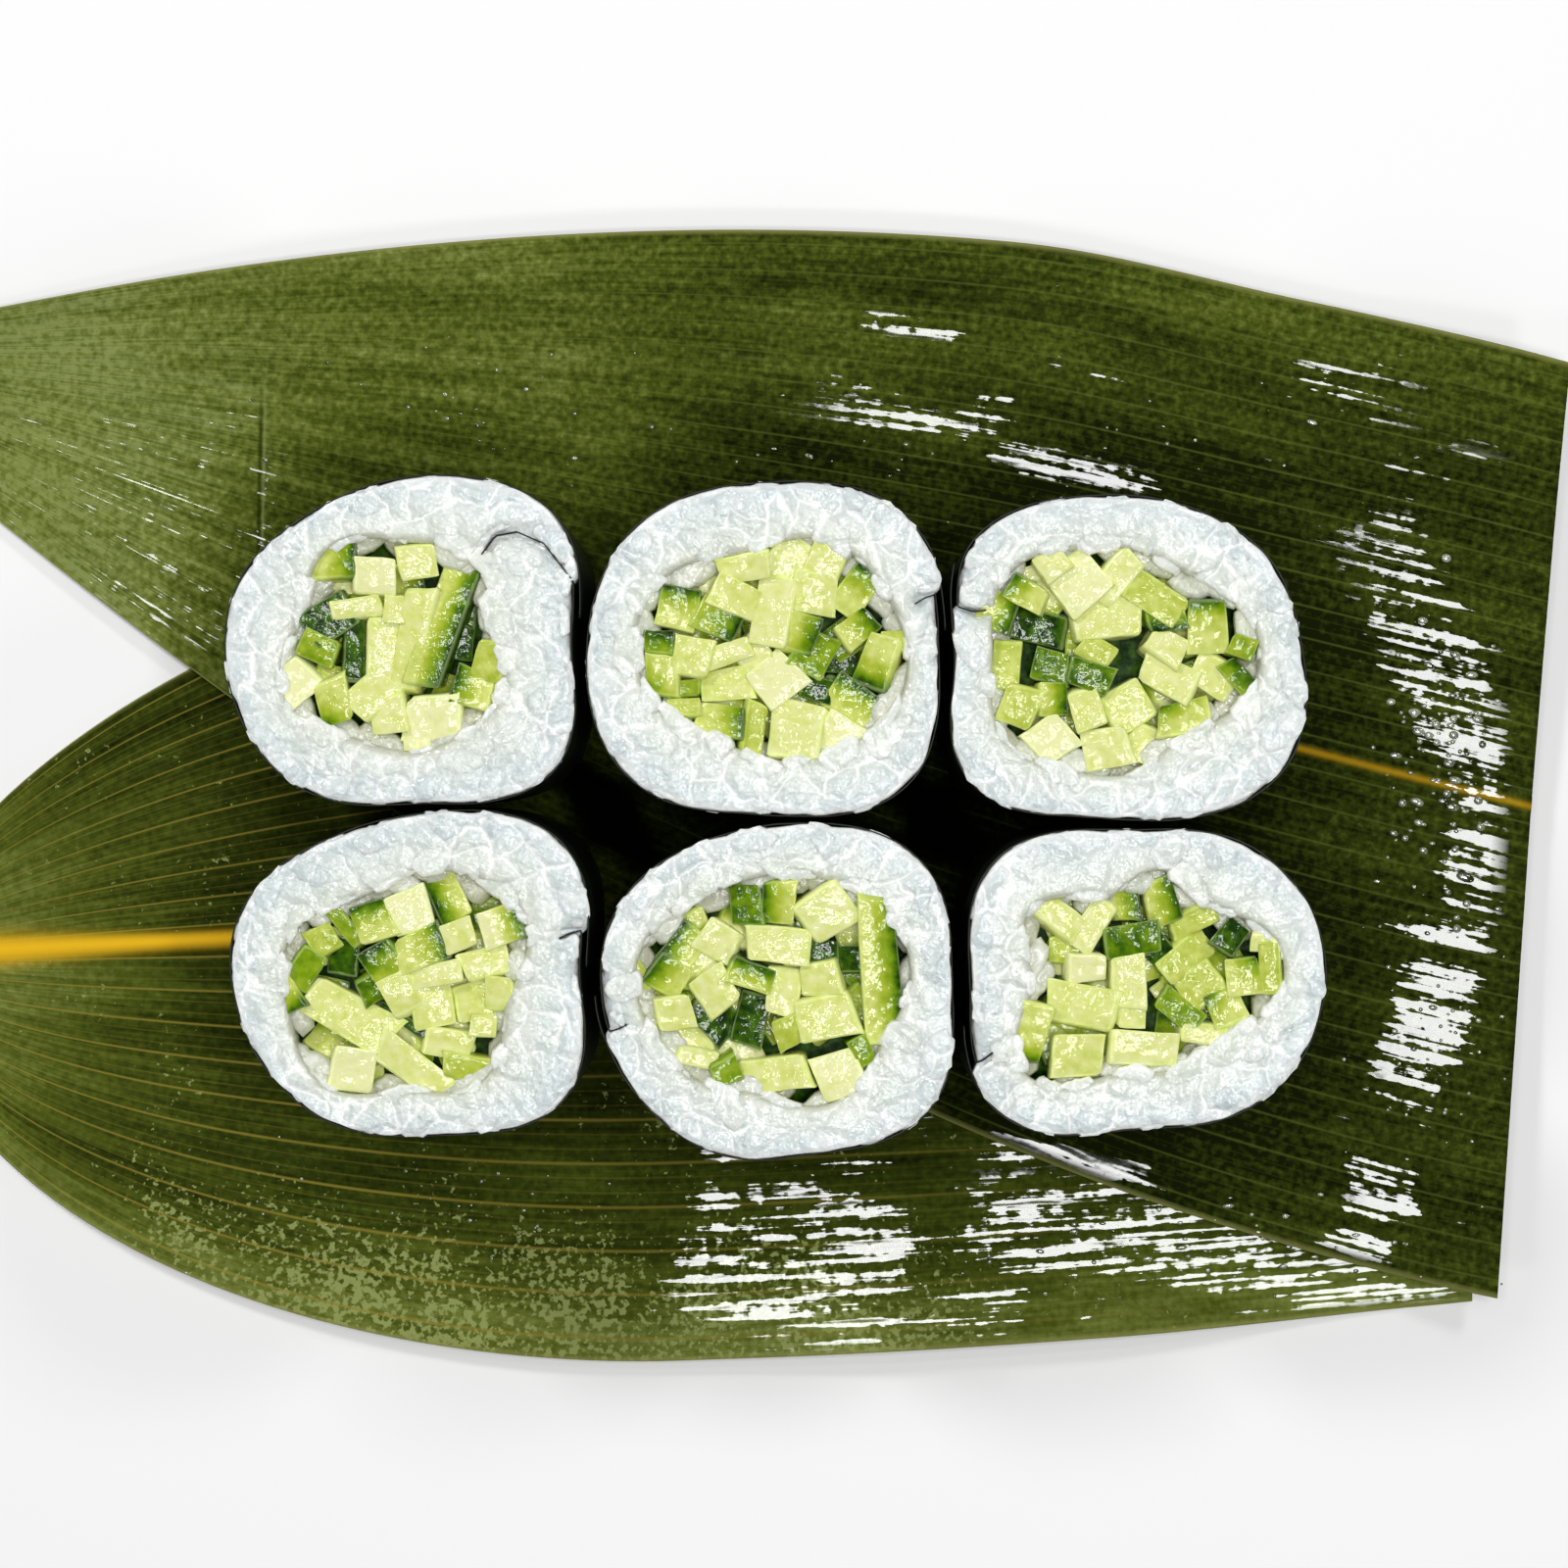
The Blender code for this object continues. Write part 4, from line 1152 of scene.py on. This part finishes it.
def make_sticks(number, piece):
    rng = np.random.default_rng(200 + number)
    lower = under_sticks(piece, np.random.default_rng(300 + number))
    stick = make_stick_pattern()
    cube = points_of(stick) * MM
    sets, fleshes, painted_rim_lights = [], [], []
    for entry in (*piece["sticks"], *lower):
        x, y, width, depth, turn, pale = entry[:6]
        skin = entry[6] if len(entry) > 6 else None
        sink = entry[7] if len(entry) > 7 else 0.0
        size = (width, depth, STICK_LENGTH)
        local = stick_points(cube, size, min(STICK_ROUND, width / 3, depth / 3))
        reach = np.max(np.abs(cube[:, :2]), axis=1)
        lean = rng.uniform(-0.16, 0.16, 2)
        share = (cube[:, 2] + 1) / 2
        top = piece["height"] - 0.45 - sink - 0.9 * rng.uniform(0.0, 1.0) ** 2
        uneven = rng.uniform(-0.13, 0.13, 4)
        across_x, across_y = cube[:, 0], cube[:, 1]
        local[:, 0] += width / 2 * (uneven[0] * across_y + uneven[1] * across_x * across_y)
        local[:, 1] += depth / 2 * (uneven[2] * across_x + uneven[3] * across_x * across_y)
        angle = math.radians(turn)
        cos, sin = math.cos(angle), math.sin(angle)
        flat = np.column_stack(
            [x + local[:, 0] * cos - local[:, 1] * sin, y + local[:, 0] * sin + local[:, 1] * cos]
        )
        z = top - STICK_LENGTH / 2 + local[:, 2] + share * (local[:, 0] * lean[0] + local[:, 1] * lean[1])
        flat += (share[:, None] - 1) * rng.uniform(-1.4, 1.4, 2)
        points = np.column_stack([flat + np.array(piece["centre"]), FOOT + z])
        if skin is None:
            flesh = np.full(len(cube), pale + rng.uniform(-0.05, 0.05))
        elif skin == "up":
            flesh = pale * (0.55 + 0.5 * smooth(0.2, -0.9, cube[:, 2])) + 0.1 * (1 - share)
        else:
            side = np.array([math.cos(math.radians(skin) - angle), math.sin(math.radians(skin) - angle)])
            extent = abs(side[0]) * width / 2 + abs(side[1]) * depth / 2
            away = extent - (local[:, 0] * side[0] + local[:, 1] * side[1])
            flesh = pale * (0.06 + 0.94 * smooth(-0.1, 2.1, away)) + 0.14 * smooth(1.2, 3.5, away)
        sets.append(points)
        fleshes.append(flesh)
        # Painted highlight on the edges of each stick's top face.
        painted_rim_lights.append(np.where(cube[:, 2] > 0.9, smooth(0.72, 1.0, reach), 0.0))
    joined = copies_as_one(f"cucumber_sticks_{number}", stick, sets)
    points = points_of(joined)
    for axis, seed in enumerate((0.0, 11.0, 23.0)):
        points[:, axis] += 0.10 * bumps(points, 1.5, seed) + 0.04 * bumps(points, 0.7, seed)
    points[:, 2] = np.minimum(points[:, 2], FOOT + piece["height"] + 0.3)
    move_points(joined, points + SHIFT)
    note(joined, "flesh", np.concatenate(fleshes))
    note(joined, "rim", np.concatenate(painted_rim_lights))
    finish_piece(joined, "cucumber", CUCUMBER, f"cucumber_{number}")
    remove(stick)
    return joined


for number, piece in enumerate(PIECES, start=1):
    sticks = make_sticks(number, piece)
    print("Piece", number, "shows", len(piece["sticks"]), "sticks in", len(sticks.data.polygons), "faces")


# %% [markdown]
# ## The leaves
#
# Each leaf follows the same surface as its solid: a line for the midrib, a half width on each
# side that swells and narrows, and gentle lifts towards the edges. Here the grid is much finer, so
# that the parallel veins can be raised a little, as they are on a real bamboo leaf.

# %% The leaves' surfaces
LEAF_THICK = 0.4
LEAF_CROWDING = 1.5
RIB_RAISE = 0.35
NARROWEST = 0.5

UPPER_TIP_X = -104.0
UPPER_LENGTH = 175.2
UPPER_RIB_POINT = (49.7, 3.3)
UPPER_RIB_SLOPE = -0.255
UPPER_RIB_BEND = 0.00006
UPPER_WIDEST = 0.93
UPPER_SWELL_POWER = 1.04
UPPER_TIP_SHARE = 0.09
UPPER_HALF_BACK = 43.8
UPPER_HALF_FRONT = 47.0
UPPER_BACK_TAPER = 0.035
UPPER_SLANT = 0.075
UPPER_BASE = 1.1
UPPER_EDGE_LIFT = 1.6
UPPER_END_CURL = 3.2

LOWER_STALK_X = -90.0
LOWER_BASE_X = -84.0
LOWER_END_X = 66.0
LOWER_RIB_END_Y = -12.0
LOWER_RIB_BEND = 4.4
LOWER_HALF_BACK = 41.0
LOWER_RUN_BACK = 100.0
LOWER_POWER_BACK = 0.6
LOWER_HALF_FRONT = 42.0
LOWER_RUN_FRONT = 75.0
LOWER_POWER_FRONT = 0.52
LOWER_WIDEST_X = -19.0
LOWER_NARROWING = 0.105
STALK_HALF = 1.25
LOWER_EDGE_LIFT = 1.8
LOWER_HUMP = 1.1


def upper_rib(x):
    away = x - UPPER_RIB_POINT[0]
    return UPPER_RIB_POINT[1] + UPPER_RIB_SLOPE * away + UPPER_RIB_BEND * away * away


def upper_swell(along):
    wave = np.sin(np.pi / 2 * along / UPPER_WIDEST) ** UPPER_SWELL_POWER
    return wave * (1 - np.exp(-along / UPPER_TIP_SHARE))


def upper_leaf(along, across):
    """Points on the upper leaf's underside: along from 0 at the tip to 1, across from -1 to 1."""
    x = UPPER_TIP_X + UPPER_LENGTH * along
    back = UPPER_HALF_BACK * (1 - UPPER_BACK_TAPER * smooth(0.7, 0.86, along))
    half = np.where(across > 0, back, UPPER_HALF_FRONT)
    aside = across * np.maximum(half * upper_swell(along), NARROWEST)
    y = upper_rib(x) + aside
    base = UPPER_BASE * smooth(-100, -58, x)
    edge = UPPER_EDGE_LIFT * np.maximum(across, 0) ** 4 * smooth(0, 0.3, along)
    curl = UPPER_END_CURL * smooth(0.88, 1.02, along) * (0.45 + 0.55 * np.abs(across))
    return np.column_stack([x + UPPER_SLANT * aside, y, base + edge + curl]), aside


def lower_rib(x):
    share = (LOWER_END_X - x) / (LOWER_END_X - LOWER_BASE_X)
    return LOWER_RIB_END_Y - LOWER_RIB_BEND * share**2


def front_edge_of_upper(x):
    level = x + UPPER_SLANT * UPPER_HALF_FRONT
    along = np.clip((level - UPPER_TIP_X) / UPPER_LENGTH, 0, 1)
    return upper_rib(level) - UPPER_HALF_FRONT * upper_swell(along)


def lower_half(x, full, run, power):
    short = 1 - np.clip((x - LOWER_BASE_X) / run, 0, 1)
    past = np.maximum(x - LOWER_WIDEST_X, 0) / (LOWER_END_X - LOWER_WIDEST_X)
    return full * (1 - short**2) ** power * (1 - LOWER_NARROWING * past**2)


def lower_leaf(along, across):
    """Points on the lower leaf's underside: along from 0 at the stalk to 1, across as above."""
    x = LOWER_STALK_X + (LOWER_END_X - LOWER_STALK_X) * along
    back = lower_half(x, LOWER_HALF_BACK, LOWER_RUN_BACK, LOWER_POWER_BACK)
    front = lower_half(x, LOWER_HALF_FRONT, LOWER_RUN_FRONT, LOWER_POWER_FRONT)
    aside = across * np.maximum(np.where(across > 0, back, front), STALK_HALF)
    y = lower_rib(x) + aside
    beyond = front_edge_of_upper(x) - y
    hump = LOWER_HUMP * (1 - smooth(22, 36, beyond)) * smooth(-66, -52, x)
    edge = LOWER_EDGE_LIFT * np.maximum(-across, 0) ** 5
    return np.column_stack([x, y, (hump + edge) * smooth(2, 14, beyond)]), aside


# %% [markdown]
# ### The leaves' material
#
# A fresh bamboo leaf is dark olive, finely mottled, with parallel veins. On the lower leaf the main
# veins fan out from the stalk as thin golden lines, and the midrib is thick and orange-yellow there.
# The pattern follows the leaf: numbers stored on the mesh run along it and across it, and others
# say how pale it is, where it has flaked and where it is wet. Painted shade darkens the leaf near
# and between the pieces and along a crease, with a painted highlight beside the crease and a
# painted sheen near the upper leaf's tip. Water lies in films and beads drawn out along the veins.
# It levels itself, so its surface points straight up but for small ripples, and it mirrors the
# bright panels as white streaks. The rest of the leaf is dull.

# %% Leaf material
LEAF_TONES = (
    (0.0, (0.008, 0.012, 0.002)),
    (0.30, (0.033, 0.046, 0.005)),
    (0.55, (0.076, 0.099, 0.011)),
    (0.80, (0.150, 0.184, 0.034)),
    (1.0, (0.240, 0.280, 0.078)),
)


def vein_lines(tree, across, count, width):
    """1 on thin lines that are evenly spaced across the leaf, 0 between them."""
    wave = sums(tree, "FRACT", sums(tree, "MULTIPLY", across, count), 0.0)
    off = sums(tree, "ABSOLUTE", sums(tree, "SUBTRACT", wave, 0.5), 0.0)
    return rescale(tree, off, 0.0, width, 1.0, 0.0)


def streaks(tree, across, along, across_scale, along_scale, detail=3.0):
    """Noise drawn out along the leaf."""
    spot = add(tree, "ShaderNodeCombineXYZ")
    tree.links.new(sums(tree, "MULTIPLY", across, across_scale), spot.inputs["X"])
    tree.links.new(sums(tree, "MULTIPLY", along, along_scale), spot.inputs["Y"])
    cloud = add(tree, "ShaderNodeTexNoise", Scale=1.0, Detail=detail)
    tree.links.new(spot.outputs["Vector"], cloud.inputs["Vector"])
    return cloud.outputs["Fac"]


def weighted(tree, start, *terms):
    """A number plus each noise, measured from its middle of 0.5, times its weight."""
    for noise_socket, weight in terms:
        start = sums(tree, "ADD", start, sums(tree, "MULTIPLY", sums(tree, "SUBTRACT", noise_socket, 0.5), weight))
    return start


def leaf_material(name, vein, vein_count, mottle):
    material, tree, shader = new_material(name, 0.5)
    across = stored(tree, "across")
    along = stored(tree, "along")
    threads = streaks(tree, across, along, 75, 16, 3)
    bands = streaks(tree, across, along, 9, 4, 2)
    speckle = pattern(tree, 1500, 2)
    tone = weighted(tree, stored(tree, "tone"), (threads, 0.6), (bands, 0.65), (speckle, mottle))
    colour = ramp(tree, tone, *LEAF_TONES)
    # Painted sheen: a pale grey-green reflection painted near the upper leaf's tip.
    painted_sheen = sums(tree, "MULTIPLY", rescale(tree, threads, 0.46, 0.62), stored(tree, "painted_sheen"))
    colour = blend(tree, painted_sheen, colour, (0.19, 0.24, 0.10))
    clusters = weighted(tree, stored(tree, "flaked"), (pattern(tree, 120, 3), 2.6))
    flakes = weighted(tree, sums(tree, "MULTIPLY", clusters, 0.17), (pattern(tree, 1700, 3), 1.0))
    flakes = rescale(tree, flakes, 0.12, 0.19)
    colour = blend(tree, flakes, colour, (0.27, 0.315, 0.10))
    fine = sums(tree, "MULTIPLY", vein_lines(tree, across, 3 * vein_count, 0.10), 0.25)
    lines = sums(tree, "MAXIMUM", vein_lines(tree, across, vein_count, 0.055), fine)
    lines = sums(tree, "MULTIPLY", lines, stored(tree, "veins"))
    colour = blend(tree, lines, colour, vein)
    colour = blend(tree, stored(tree, "midrib"), colour, (0.86, 0.50, 0.018))
    margin = rescale(tree, sums(tree, "ABSOLUTE", across, 0.0), 0.986, 0.998, 0.0, 0.7)
    colour = blend(tree, margin, colour, (0.26, 0.27, 0.08))
    to_crease = stored(tree, "to_crease")
    # Painted shade: a dark line along the crease, and a painted highlight in a light line beside it.
    crease_shade = rescale(tree, sums(tree, "ABSOLUTE", to_crease, 0.0), 0.05, 0.30, 0.75, 0.0)
    crease_shade = sums(tree, "MULTIPLY", crease_shade, stored(tree, "creased"))
    colour = blend(tree, crease_shade, colour, (0.015, 0.022, 0.002))
    beside = sums(tree, "ABSOLUTE", sums(tree, "SUBTRACT", to_crease, 0.38), 0.0)
    beside = sums(tree, "MULTIPLY", rescale(tree, beside, 0.0, 0.22, 0.5, 0.0), stored(tree, "creased"))
    colour = blend(tree, beside, colour, (0.24, 0.28, 0.10))
    # Painted shade: where three or more pieces crowd round, the leaf is painted nearly black.
    colour = blend(tree, stored(tree, "painted_shade_between"), colour, (0.0005, 0.0007, 0.0002))
    tree.links.new(colour, shader.inputs["Base Color"])
    shader.inputs["Specular IOR Level"].default_value = 0.0
    water = weighted(tree, streaks(tree, across, along, 64, 10, 3), (pattern(tree, 850, 2), 0.40))
    water = sums(tree, "ADD", water, sums(tree, "MULTIPLY", stored(tree, "wet"), 0.26))
    water = sums(tree, "MULTIPLY", rescale(tree, water, 0.735, 0.765), stored(tree, "open"))
    facing = add(tree, "ShaderNodeSeparateXYZ")
    tree.links.new(add(tree, "ShaderNodeNewGeometry").outputs["Normal"], facing.inputs["Vector"])
    upward = sums(tree, "GREATER_THAN", facing.outputs["Z"], 0.3)
    tree.links.new(sums(tree, "MULTIPLY", water, upward), shader.inputs["Coat Weight"])
    shader.inputs["Coat Roughness"].default_value = 0.06
    swells = streaks(tree, across, along, 20, 5, 1)
    relief(tree, shader, swells, 0.15)
    film = weighted(tree, swells, (pattern(tree, 150, 1), 0.3))
    film = weighted(tree, film, (pattern(tree, 1000, 1), 0.10), (streaks(tree, across, along, 48, 30, 1), 0.35))
    level = add(tree, "ShaderNodeCombineXYZ", Z=1.0)
    ripples = add(tree, "ShaderNodeBump", Strength=1.0)
    ripples.inputs["Distance"].default_value = 0.035 * MM
    tree.links.new(film, ripples.inputs["Height"])
    tree.links.new(level.outputs["Vector"], ripples.inputs["Normal"])
    tree.links.new(ripples.outputs["Normal"], shader.inputs["Coat Normal"])
    return material


UPPER_LEAF = leaf_material("upper_leaf_skin", (0.11, 0.14, 0.025), 14, 0.95)
LOWER_LEAF = leaf_material("lower_leaf_skin", (0.27, 0.22, 0.035), 10, 0.50)


# %% Make the leaves
LEAF_CELLS_ALONG = 100
LEAF_CELLS_ACROSS = 400
LEAF_SHRINK = 0.9994
CREASE_X = -50.2


def near_pieces(points):
    """1 beside and under the pieces, falling to 0 some way off."""
    away = np.full(len(points), 99.0)
    for piece in PIECES:
        offset = points[:, :2] - np.array(piece["centre"])
        away = np.minimum(away, np.hypot(offset[:, 0], offset[:, 1]) - 15.8)
    return smooth(14, 0, away)


def between_pieces(points):
    """1 where three or more pieces stand close round a spot, as in the middle of four."""
    crowd = np.zeros(len(points))
    for piece in PIECES:
        offset = points[:, :2] - np.array(piece["centre"])
        crowd += smooth(9.5, 5.0, np.hypot(offset[:, 0], offset[:, 1]) - 15.8)
    return smooth(1.6, 2.6, crowd)


WATER_ON_LOWER = (
    # middle, half length, half width, turn, how wet
    ((1.0, -45.0), 12.0, 10.0, -18, 0.84),
    ((38.0, -42.5), 23.0, 7.5, -9, 0.86),
    ((15.5, -49.5), 8.0, 3.0, -6, 0.65),
    ((60.0, -49.0), 6.0, 1.6, -8, 0.8),
    ((-35.0, -46.0), 20.0, 4.0, -12, 0.15),
)
WATER_ON_UPPER = (
    ((61.0, 14.0), 14.5, 5.4, -64, 0.83),
    ((66.0, 3.0), 7.0, 3.2, -80, 0.90),
    ((63.4, -16.5), 15.0, 4.4, 72, 1.0),
    ((57.0, -38.5), 3.6, 3.6, 0, 0.9),
    ((54.8, -44.0), 3.2, 1.6, -20, 1.0),
    ((28.0, 30.2), 9.0, 1.9, -11, 1.1),
    ((12.5, 43.3), 5.5, 1.3, -12, 1.05),
    ((11.5, 35.8), 11.5, 2.6, -4, 0.72),
    ((54.5, 37.6), 7.5, 3.2, -14, 0.60),
    ((63.0, 30.0), 6.0, 3.0, 0, 0.55),
    ((-3.0, 40.0), 4.0, 2.5, 0, 0.5),
    ((27.2, -35.9), 8.5, 1.3, -12, 1.35),
    ((-62.0, 24.0), 15.0, 14.0, 0, 0.35),
    ((-57.0, 17.0), 5.0, 4.0, -35, 0.55),
)


def wetness(x, y, patches):
    """How wet the leaf is, from 0 to 1: each patch is an oblong with soft ends."""
    wet = np.zeros(len(x))
    for middle, half_length, half_width, turn, amount in patches:
        cos, sin = math.cos(math.radians(turn)), math.sin(math.radians(turn))
        off_x, off_y = x - middle[0], y - middle[1]
        along = np.abs(off_x * cos + off_y * sin) / half_length
        aside = np.abs(off_y * cos - off_x * sin) / half_width
        wet = np.maximum(wet, amount * smooth(1.05, 0.80, along) * smooth(1.1, 0.6, aside))
    return wet


def make_leaf(name, node, surface, material, vein_count, ridge_height):
    deselect()
    bpy.ops.mesh.primitive_grid_add(
        x_subdivisions=LEAF_CELLS_ALONG, y_subdivisions=LEAF_CELLS_ACROSS, size=2
    )
    leaf = bpy.context.object
    leaf.name = name
    shares = points_of(leaf) * MM
    along = (shares[:, 0] + 1) / 2
    across = np.sign(shares[:, 1]) * np.abs(shares[:, 1]) ** LEAF_CROWDING
    points, aside = surface(along, across)
    inside = 1 - smooth(0.93, 1.0, np.abs(across))
    lower = name.startswith("lower")
    raise_rib = RIB_RAISE if lower else 0.2
    rib = raise_rib * np.exp(-((aside / 0.8) ** 2))
    ridge = ridge_height * np.cos(2 * np.pi * across * vein_count) * inside
    points[:, 2] += rib * inside + ridge + 0.05
    placed = points + SHIFT
    placed[:, :2] *= LEAF_SHRINK
    move_points(leaf, placed)
    note(leaf, "along", along)
    note(leaf, "across", across)
    x, y = points[:, 0], points[:, 1]
    # Painted shade: the leaf's tone is lowered beside and under the pieces.
    dark = near_pieces(points)
    wet = wetness(x, y, WATER_ON_LOWER if lower else WATER_ON_UPPER)
    if lower:
        tone = 0.28 + 0.42 * smooth(-50, -78, x) * smooth(22, 5, np.abs(aside)) - 0.08 * dark
        # Wet patches are also painted a little lighter, a painted haze of reflection.
        tone += 0.09 * wet + 0.06 * smooth(-0.3, -0.6, across) + 0.36 * smooth(-0.74, -0.98, across)
        veins = smooth(0.95, 0.25, along) * 0.85
        gold = np.exp(-((aside / (0.62 + 1.2 * smooth(0.22, 0.0, along))) ** 2)) * smooth(0.62, 0.3, along)
        flaked = smooth(-0.52, -0.92, across) * smooth(0.1, 0.25, along) * smooth(0.78, 0.55, along) * 1.15 - 0.42
        painted_sheen = 0 * x
        creased = 0 * x
    else:
        tone = 0.64 + 0.25 * smooth(-36, -75, x) - 0.27 * smooth(-25, -2, x) - 0.25 * dark
        tone += 0.16 * smooth(28, 40, y) * smooth(-20, 60, x) - 0.13 * smooth(0, 30, x)
        veins = np.full(len(x), 0.5)
        gold = 0.42 * np.exp(-((aside / 0.30) ** 2)) * smooth(38, 50, x)
        flaked = 0 * x - 1
        # Painted sheen near the upper leaf's tip, in patches.
        painted_sheen = 0.5 * smooth(-46, -56, x) * np.clip(0.5 + 1.2 * bumps(points, 16.0, 5.0), 0, 1)
        creased = smooth(40, 34, y) * smooth(8, 14, y)
    note(leaf, "to_crease", x - CREASE_X - 0.02 * (y - 25))
    note(leaf, "creased", creased)
    # Painted shade between the pieces, where the rolls block the light; the water film is left off there too.
    painted_shade_between = between_pieces(points)
    note(leaf, "painted_shade_between", painted_shade_between)
    note(leaf, "wet", wet)
    note(leaf, "open", (1 - painted_shade_between) * smooth(68.6, 68.0, x) * smooth(0.99, 0.97, np.abs(across)))
    note(leaf, "tone", tone)
    note(leaf, "veins", veins)
    note(leaf, "midrib", np.clip(gold, 0, 1))
    note(leaf, "flaked", flaked)
    note(leaf, "painted_sheen", painted_sheen)
    sheet = leaf.modifiers.new("Thickness", "SOLIDIFY")
    sheet.thickness = LEAF_THICK * 0.8 * MM
    sheet.offset = 1
    apply_all(leaf)
    finish_piece(leaf, "leaf", material, node)
    return leaf


lower = make_leaf("lower_leaf", "leaf_lower", lower_leaf, LOWER_LEAF, 10, 0.025)
upper = make_leaf("upper_leaf", "leaf_upper", upper_leaf, UPPER_LEAF, 14, 0.010)
print("A leaf has", len(upper.data.polygons), "faces")


# %% [markdown]
# ## Drops of water
#
# The leaves were rinsed, and small flat drops stayed on them, most of them near the cut end. A
# drop is half a ball pressed flat, and some ran a little along the veins. Most take the leaf's dark
# colour, as clear water does, and some are painted pale in patches, a painted highlight; all have a
# very smooth film that glints.

# %% Drops
DROP_GROUPS = (
    # middle, spread, how many, radius from and to, how drawn out
    ((62.5, 2.0), (4.5, 13.0), 130, (0.16, 0.46), 2.2),
    ((61.0, -24.0), (5.0, 8.0), 70, (0.10, 0.28), 1.6),
    ((22.0, 32.0), (28.0, 6.0), 45, (0.10, 0.24), 2.6),
    ((-28.0, 36.0), (16.0, 6.0), 30, (0.10, 0.26), 1.4),
    ((-49.0, 26.0), (2.0, 8.0), 14, (0.14, 0.34), 1.2),
    ((38.0, -44.0), (20.0, 4.5), 70, (0.10, 0.28), 3.0),
    ((-35.0, -42.0), (18.0, 6.0), 36, (0.09, 0.20), 1.4),
)
DROP_FLATNESS = 0.34


def water_material():
    material, tree, shader = new_material("water_on_leaf", 0.3)
    # Painted highlight: some drops are painted pale in patches, standing for glints.
    colour = ramp(tree, pattern(tree, 300, 2), (0.35, (0.020, 0.030, 0.003)), (0.60, (0.30, 0.33, 0.24)))
    tree.links.new(colour, shader.inputs["Base Color"])
    shader.inputs["Specular IOR Level"].default_value = 0.0
    shader.inputs["Coat Weight"].default_value = 1.0
    shader.inputs["Coat Roughness"].default_value = 0.06
    shader.inputs["Coat IOR"].default_value = 2.0
    return material


def surface_height(tops, x, y):
    """The height of the highest leaf point near a spot, in millimetres."""
    near = (np.abs(tops[:, 0] - x) < 1.2) & (np.abs(tops[:, 1] - y) < 0.6)
    return tops[near, 2].max() if near.any() else None


def make_drops(leaves):
    rng = np.random.default_rng(11)
    tops = np.concatenate([points_of(leaf) for leaf in leaves]) - SHIFT
    deselect()
    bpy.ops.mesh.primitive_uv_sphere_add(segments=10, ring_count=5, radius=1)
    drop = bpy.context.object
    ball = points_of(drop) * MM
    sets = []
    for middle, spread, count, radii, drawn in DROP_GROUPS:
        for _ in range(count):
            x, y = np.clip(rng.normal(0, 0.6, 2), -1.5, 1.5) * spread + middle
            radius = rng.uniform(0, 1) ** 2 * (radii[1] - radii[0]) + radii[0]
            stretch = 1 + (drawn - 1) * rng.uniform(0, 1) ** 2
            turn = math.radians(rng.normal(-12 if x > 0 and y > -34 else 0, 6))
            z = surface_height(tops, x, y)
            if z is None or x > 68.5:
                continue
            if near_pieces(np.array([[x, y, 0.0]]))[0] > 0.97:
                continue
            flat = ball[:, :2] * (radius * stretch, radius)
            cos, sin = math.cos(turn), math.sin(turn)
            spots = np.column_stack([
                x + flat[:, 0] * cos - flat[:, 1] * sin,
                y + flat[:, 0] * sin + flat[:, 1] * cos,
                z - 0.03 + ball[:, 2] * radius * DROP_FLATNESS,
            ])
            sets.append(spots + SHIFT)
    drops = copies_as_one("water_drops", drop, sets)
    finish_piece(drops, "leaf", water_material())
    remove(drop)
    return drops, len(sets)


drops, count = make_drops((upper, lower))
print(count, "drops of water in", len(drops.data.polygons), "faces")
